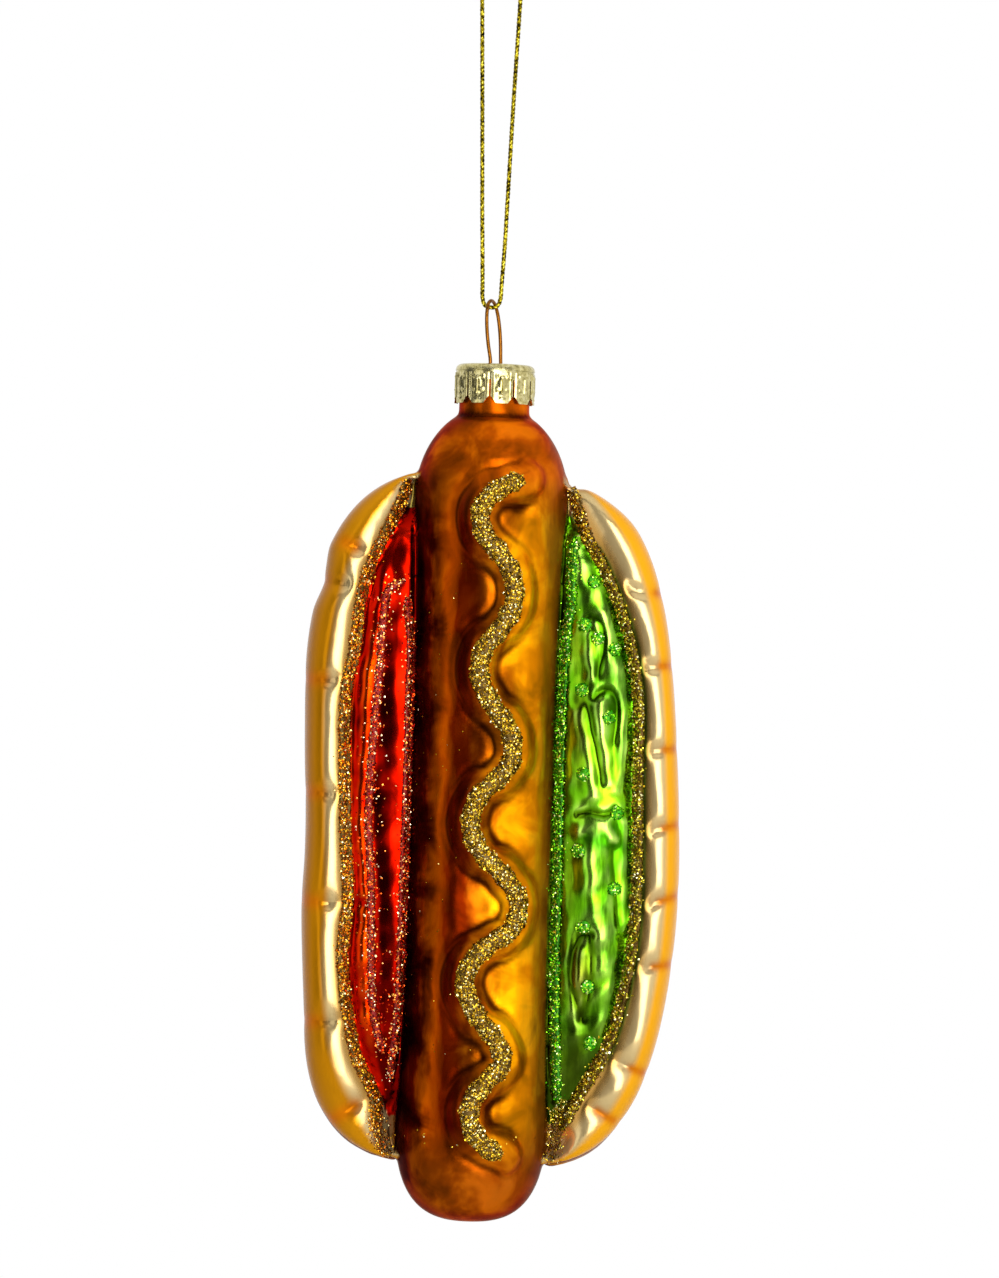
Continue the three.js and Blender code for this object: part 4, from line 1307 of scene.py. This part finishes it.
def glitter(name, stops, red=None, green=None):
    material, tree = new_material(name)
    glue, chance = attribute(tree, "glue"), attribute(tree, "chance")
    colour = node(tree, "ValToRGB", chance, stops=stops)
    if red:
        stained = attribute(tree, "stain")
        colour = mixed(tree, stained, colour, node(tree, "ValToRGB", chance, stops=red))
        leafy = maths(tree, "MULTIPLY", stained, -1.0)
        colour = mixed(tree, leafy, colour, node(tree, "ValToRGB", chance, stops=green))
    node(tree, "OutputMaterial", node(
        tree, "BsdfPrincipled", colour, Metallic=maths(tree, "MULTIPLY_ADD", glue, -0.4, 0.95),
        Roughness=maths(tree, "MULTIPLY_ADD", glue, 0.3, 0.19)))
    return material


gold_film = glitter(
    "gold_glitter_film",
    [(0.0, "#2c1c02"), (0.3, "#8c680a"), (0.6, "#cea01c"), (0.85, "#fcd848"), (1.0, "#fffac8")],
    [(0.0, "#541600"), (0.3, "#c45400"), (0.6, "#f88a0c"), (0.85, "#ffb824"), (1.0, "#fff0b0")],
    [(0.0, "#1c2400"), (0.3, "#5c6808"), (0.6, "#98a418"), (0.85, "#dce050"), (1.0, "#fcffd0")])
red_film = glitter(
    "red_glitter_film",
    [(0.0, "#480000"), (0.26, "#a81204"), (0.52, "#ec480c"), (0.8, "#fca848"), (1.0, "#fff2cc")])
green_film = glitter(
    "green_glitter_film",
    [(0.0, "#103400"), (0.22, "#3ca408"), (0.46, "#80dc18"), (0.8, "#b8ec34"), (1.0, "#f6ffb8")])

# %% [markdown]
# The lines follow the lips' rims and the seams. Those on the fillings are given as a share of
# the way across, so that they stay between sausage and lip.

# %% Glitter lines
LEFT_RIM = [(float(left_rim(h)), h) for h in (
    -17.8, -20.6, -25, -30.2, -36, -43, -49.7, -60, -70, -80.5, -88, -95, -104.2, -109.6, -114)]
RIGHT_RIM = [(float(right_rim(h)), h) for h in (
    -18.2, -21.6, -25.6, -29.7, -35.2, -41.5, -49.5, -61, -72, -83.5, -92, -101.5, -109, -114)]


def on_filling(points, rim):
    """Points given as a share of the way from the sausage's edge to the lip, and a height."""
    side = -1 if rim is left_rim else 1
    return [(float(s * rim(h) + (1 - s) * side * SAUSAGE), h) for s, h in points]


KETCHUP_MIDDLE = on_filling([
    (0.17, -33), (0.47, -34.4), (0.52, -38.5), (0.5, -46), (0.54, -57), (0.6, -68), (0.57, -78),
    (0.5, -88), (0.48, -97), (0.35, -103.4)], left_rim)
KETCHUP_SEAM = on_filling([
    (0.09, -35.4), (-0.02, -42), (-0.03, -50), (-0.03, -64), (-0.03, -80), (-0.02, -92),
    (0.04, -101), (0.23, -107.5)], left_rim)
LETTUCE_SEAM = on_filling([
    (0.39, -25.6), (0.14, -31), (0.11, -35.5), (0.03, -41), (0, -50), (0, -65), (0.01, -78),
    (0.01, -88), (0.05, -98), (0.14, -105), (0.32, -110)], right_rim)


def glitter_line(name, node_name, line, half_width, height, film, slot, density):
    bead = glue_bead(name, line, half_width, height)
    places, up = sticky_places(bead, 0.1, density)
    aside = rng.normal(0, 0.17, (len(places), 3))
    aside -= (aside * up).sum(axis=1)[:, None] * up
    places = places + aside + up * rng.uniform(0.02, 0.12, (len(places), 1))
    piece = joined(name, [bead, flakes(name + "_flakes", places, up, 31)])
    settle(piece, "ornament", film, [node_name])


gold = gold_film, "gold_glitter"
red = red_film, "red_glitter"
green = green_film, "green_glitter"
glitter_line("mustard_squiggle", "mustard_glitter", SQUIGGLE, 1.4, 0.75, *gold, 22)
glitter_line("left_rim_line", "left_rim_glitter", LEFT_RIM, 0.8, 0.5, *gold, 20)
glitter_line("right_rim_line", "right_rim_glitter", RIGHT_RIM, 0.8, 0.5, *gold, 20)
glitter_line("ketchup_middle_line", "ketchup_middle_glitter", KETCHUP_MIDDLE, 0.6, 0.35, *red, 15)
glitter_line("ketchup_seam_line", "ketchup_seam_glitter", KETCHUP_SEAM, 0.6, 0.35, *red, 15)
glitter_line("lettuce_seam_line", "lettuce_seam_glitter", LETTUCE_SEAM, 0.7, 0.5, *green, 17)

# %% [markdown]
# The dots on the lettuce are drops of the same glue: a small dome each, under a crust of green
# flakes.

# %% Dots
DOT_RADIUS = 1.0
RIM_BEAD_EDGE, DOT_EDGE, DOT_GAP = 0.85, 1.1, 0.3
DOT_HEIGHT, DOT_FOOT, DOT_DROP = 0.6, 0.1, 1.2
DOTS = on_filling([
    (0.65, -32.2), (0.34, -38.7), (0.52, -40.7), (0.76, -42.2), (0.26, -48.4), (0.62, -52.4),
    (0.3, -60.9), (0.75, -66.5), (0.26, -72.4), (0.73, -77.9), (0.36, -83.7), (0.49, -92.6),
    (0.69, -101)], right_rim)
for i, (dx, dz) in enumerate(DOTS):
    dx = min(dx, float(right_rim(dz)) - RIM_BEAD_EDGE - DOT_EDGE - DOT_GAP)
    ground, _ = front_at(dx, dz)
    nothing_selected()
    bpy.ops.mesh.primitive_uv_sphere_add(segments=20, ring_count=12, radius=DOT_RADIUS)
    dot = started(f"lettuce_drop_{i + 1}")
    laid = []
    for bx, by, bz in points_of(dot):
        under, _ = front_at(dx + bx, dz + bz)
        under = ground if under is None or abs(under - ground) > DOT_DROP else under
        rise = DOT_HEIGHT * max(-by, 0) - DOT_FOOT * max(by, 0)
        laid.append((dx + bx, under - rise, dz + bz))
    put_points(dot, laid)
    places, up = sticky_places(dot, 0.2, 18)
    piece = joined(dot.name, [dot, flakes(dot.name + "_flakes", places + up * 0.05, up, 32)])
    settle(piece, "ornament", green_film, [f"lettuce_dot_{i + 1}"])

# %% [markdown]
# Flakes also stray. Many lie loose in the ketchup beside its lines, and a few on the sausage.

# %% Stray flakes


def strays(name, line, count, spread, film, slot, size=0.9):
    steps = smooth_line(line, GLUE_STEP)
    places, normals = [], []
    for _ in range(count):
        px, pz = steps[rng.integers(len(steps))] + rng.normal(0, spread, 2)
        ground, normal = front_at(px, pz)
        if ground is None or normal.y > -0.25:
            continue
        places.append((px, ground - 0.03, pz))
        normals.append(tuple(normal))
    piece = flakes(name, np.array(places), np.array(normals), 18, size)
    settle(piece, "ornament", film)


CREASE_LEFT = [(-14.6, -112.5), (-13.4, -116), (-12.4, -118.4)]
CREASE_RIGHT = [(13.4, -110.5), (12.8, -114), (12.1, -118.4)]
SAUSAGE_LEFT = [(-7, -30), (-6, -60), (-7, -80), (-5, -105)]
strays("stray_ketchup_flakes", KETCHUP_MIDDLE, 650, 1.0, *red)
strays("stray_seam_flakes", KETCHUP_SEAM, 500, 0.7, *red)
strays("stray_rim_flakes", LEFT_RIM + RIGHT_RIM[::-1], 260, 0.8, *gold)
strays("crease_left_flakes", CREASE_LEFT, 600, 0.6, *gold)
strays("crease_right_flakes", CREASE_RIGHT, 700, 0.6, *gold)
strays("stray_lettuce_flakes", LETTUCE_SEAM, 260, 0.8, *green)
strays("stray_sausage_flakes", SAUSAGE_LEFT, 60, 1.6, *gold, 0.6)

# %% [markdown]
# The studio: a pale floor well below the ornament and three soft lamps. What a mirror shows is a
# matter of its own, so the lamps don't show in reflections, and a curved wall that only mirrors
# see stands for the room: one broad bright window in front and to the right with soft edges, a
# dark left side with one dimmer slit in it, and white beyond. A dim card above closes the room.
# The dark side makes metal look like metal.

# %% Floor
FLOOR_HEIGHT, FLOOR_RADIUS = -0.262, 0.42
nothing_selected()
bpy.ops.mesh.primitive_circle_add(vertices=96, radius=FLOOR_RADIUS, fill_type="NGON",
                                  location=(0, 0, FLOOR_HEIGHT))
floor = started("floor")
only(floor)
bpy.ops.object.transform_apply(location=True)
material, tree = new_material("pale_painted_floor")
node(tree, "OutputMaterial", node(tree, "BsdfPrincipled", "#f2f1ee", Roughness=0.85))
floor.data.materials.append(material)

# %% [markdown]
# Three soft boxes light it from the front, the right and above. The walls are what it mirrors.

# %% Lamps and walls
AIM = (0.0, 0.0, -0.12)


def soft_box(name, where, width, height, watts):
    data = bpy.data.lights.new(name, "AREA")
    data.shape = "RECTANGLE"
    data.size, data.size_y = width, height
    data.energy = watts
    lamp = linked(name, data)
    lamp.location = where
    lamp.rotation_mode = "QUATERNION"
    lamp.rotation_quaternion = (Vector(AIM) - Vector(where)).to_track_quat("-Z", "Y")
    lamp.visible_glossy = False


def around(degrees, distance):
    """A place round the ornament: 0 is the camera's side, 90 its right."""
    a = math.radians(degrees)
    return (distance * math.sin(a), -distance * math.cos(a), AIM[2])


def wall(name, start, end, distance, bottom, top, lights):
    """A curved wall that only mirrors see. Lights are (degrees, radiance) stops along it."""
    nothing_selected()
    bpy.ops.mesh.primitive_grid_add(x_subdivisions=48, y_subdivisions=2, size=2)
    card = started(name)
    p = points_of(card)
    turn = np.radians(start + (end - start) * (p[:, 0] + 1) / 2)
    height = bottom + (top - bottom) * (p[:, 1] + 1) / 2
    put_points(card, np.column_stack([distance * np.sin(turn), -distance * np.cos(turn), height]))
    brightest = max(light for _, light in lights)
    material, tree = new_material(name + "_paint")
    turned = node(tree, "Mapping", node(tree, "TexCoord", out="Object"),
                  Rotation=(0, 0, math.pi / 2))
    round_it = node(tree, "TexGradient", turned, gradient_type="RADIAL", out="Fac")
    paint = node(tree, "ValToRGB", round_it, stops=[
        (0.5 + degrees / 360, [light / brightest] * 3 + [1]) for degrees, light in lights])
    paint.node.color_ramp.interpolation = "EASE"
    node(tree, "OutputMaterial", node(tree, "Emission", paint, Strength=brightest))
    card.data.materials.append(material)
    for sight in ("camera", "diffuse", "shadow", "transmission"):
        setattr(card, "visible_" + sight, False)


wall("room_wall", -110, 110, 1.3, -1.0, 0.9, [
    (-110, 1.0), (-98, 0.4), (-88, 0.1), (-70, 0.06), (-63, 0.3), (-58, 1.5), (-42, 1.5),
    (-35, 0.15), (-18, 0.08), (-9, 0.15), (-2, 5.8), (20, 5.5), (34, 1.3), (50, 0.95), (92, 1.2),
    (110, 1.0)])
wall("ceiling_edge", -60, 60, 1.5, 0.75, 1.7, [(-60, 0.15), (60, 0.15)])
soft_box("key_box", around(15, 1.1), 0.8, 1.1, 9)
soft_box("right_box", around(62, 1.0), 0.25, 1.0, 3)
soft_box("top_box", (0.1, -0.3, 0.8), 0.5, 0.5, 4)

# %% [markdown]
# The sky is white. To the camera, to mirrors and through glass it is full, and the light that it
# adds to the shades is about half of that.

# %% World
world = bpy.data.worlds.new("studio")
bpy.context.scene.world = world
world.use_nodes = True
tree = world.node_tree
tree.nodes.clear()
camera_ray, glossy_ray, through_ray = [
    node(tree, "LightPath", out=f"Is {kind} Ray") for kind in ("Camera", "Glossy", "Transmission")
]
mirrored = maths(tree, "MAXIMUM", maths(tree, "MAXIMUM", camera_ray, glossy_ray), through_ray)
strength = node(tree, "Mix", mirrored, _2=0.55, _3=1.0)
node(tree, "OutputWorld", node(tree, "Background", "#ffffff", Strength=strength))
bpy.context.scene.view_settings.view_transform = "Standard"
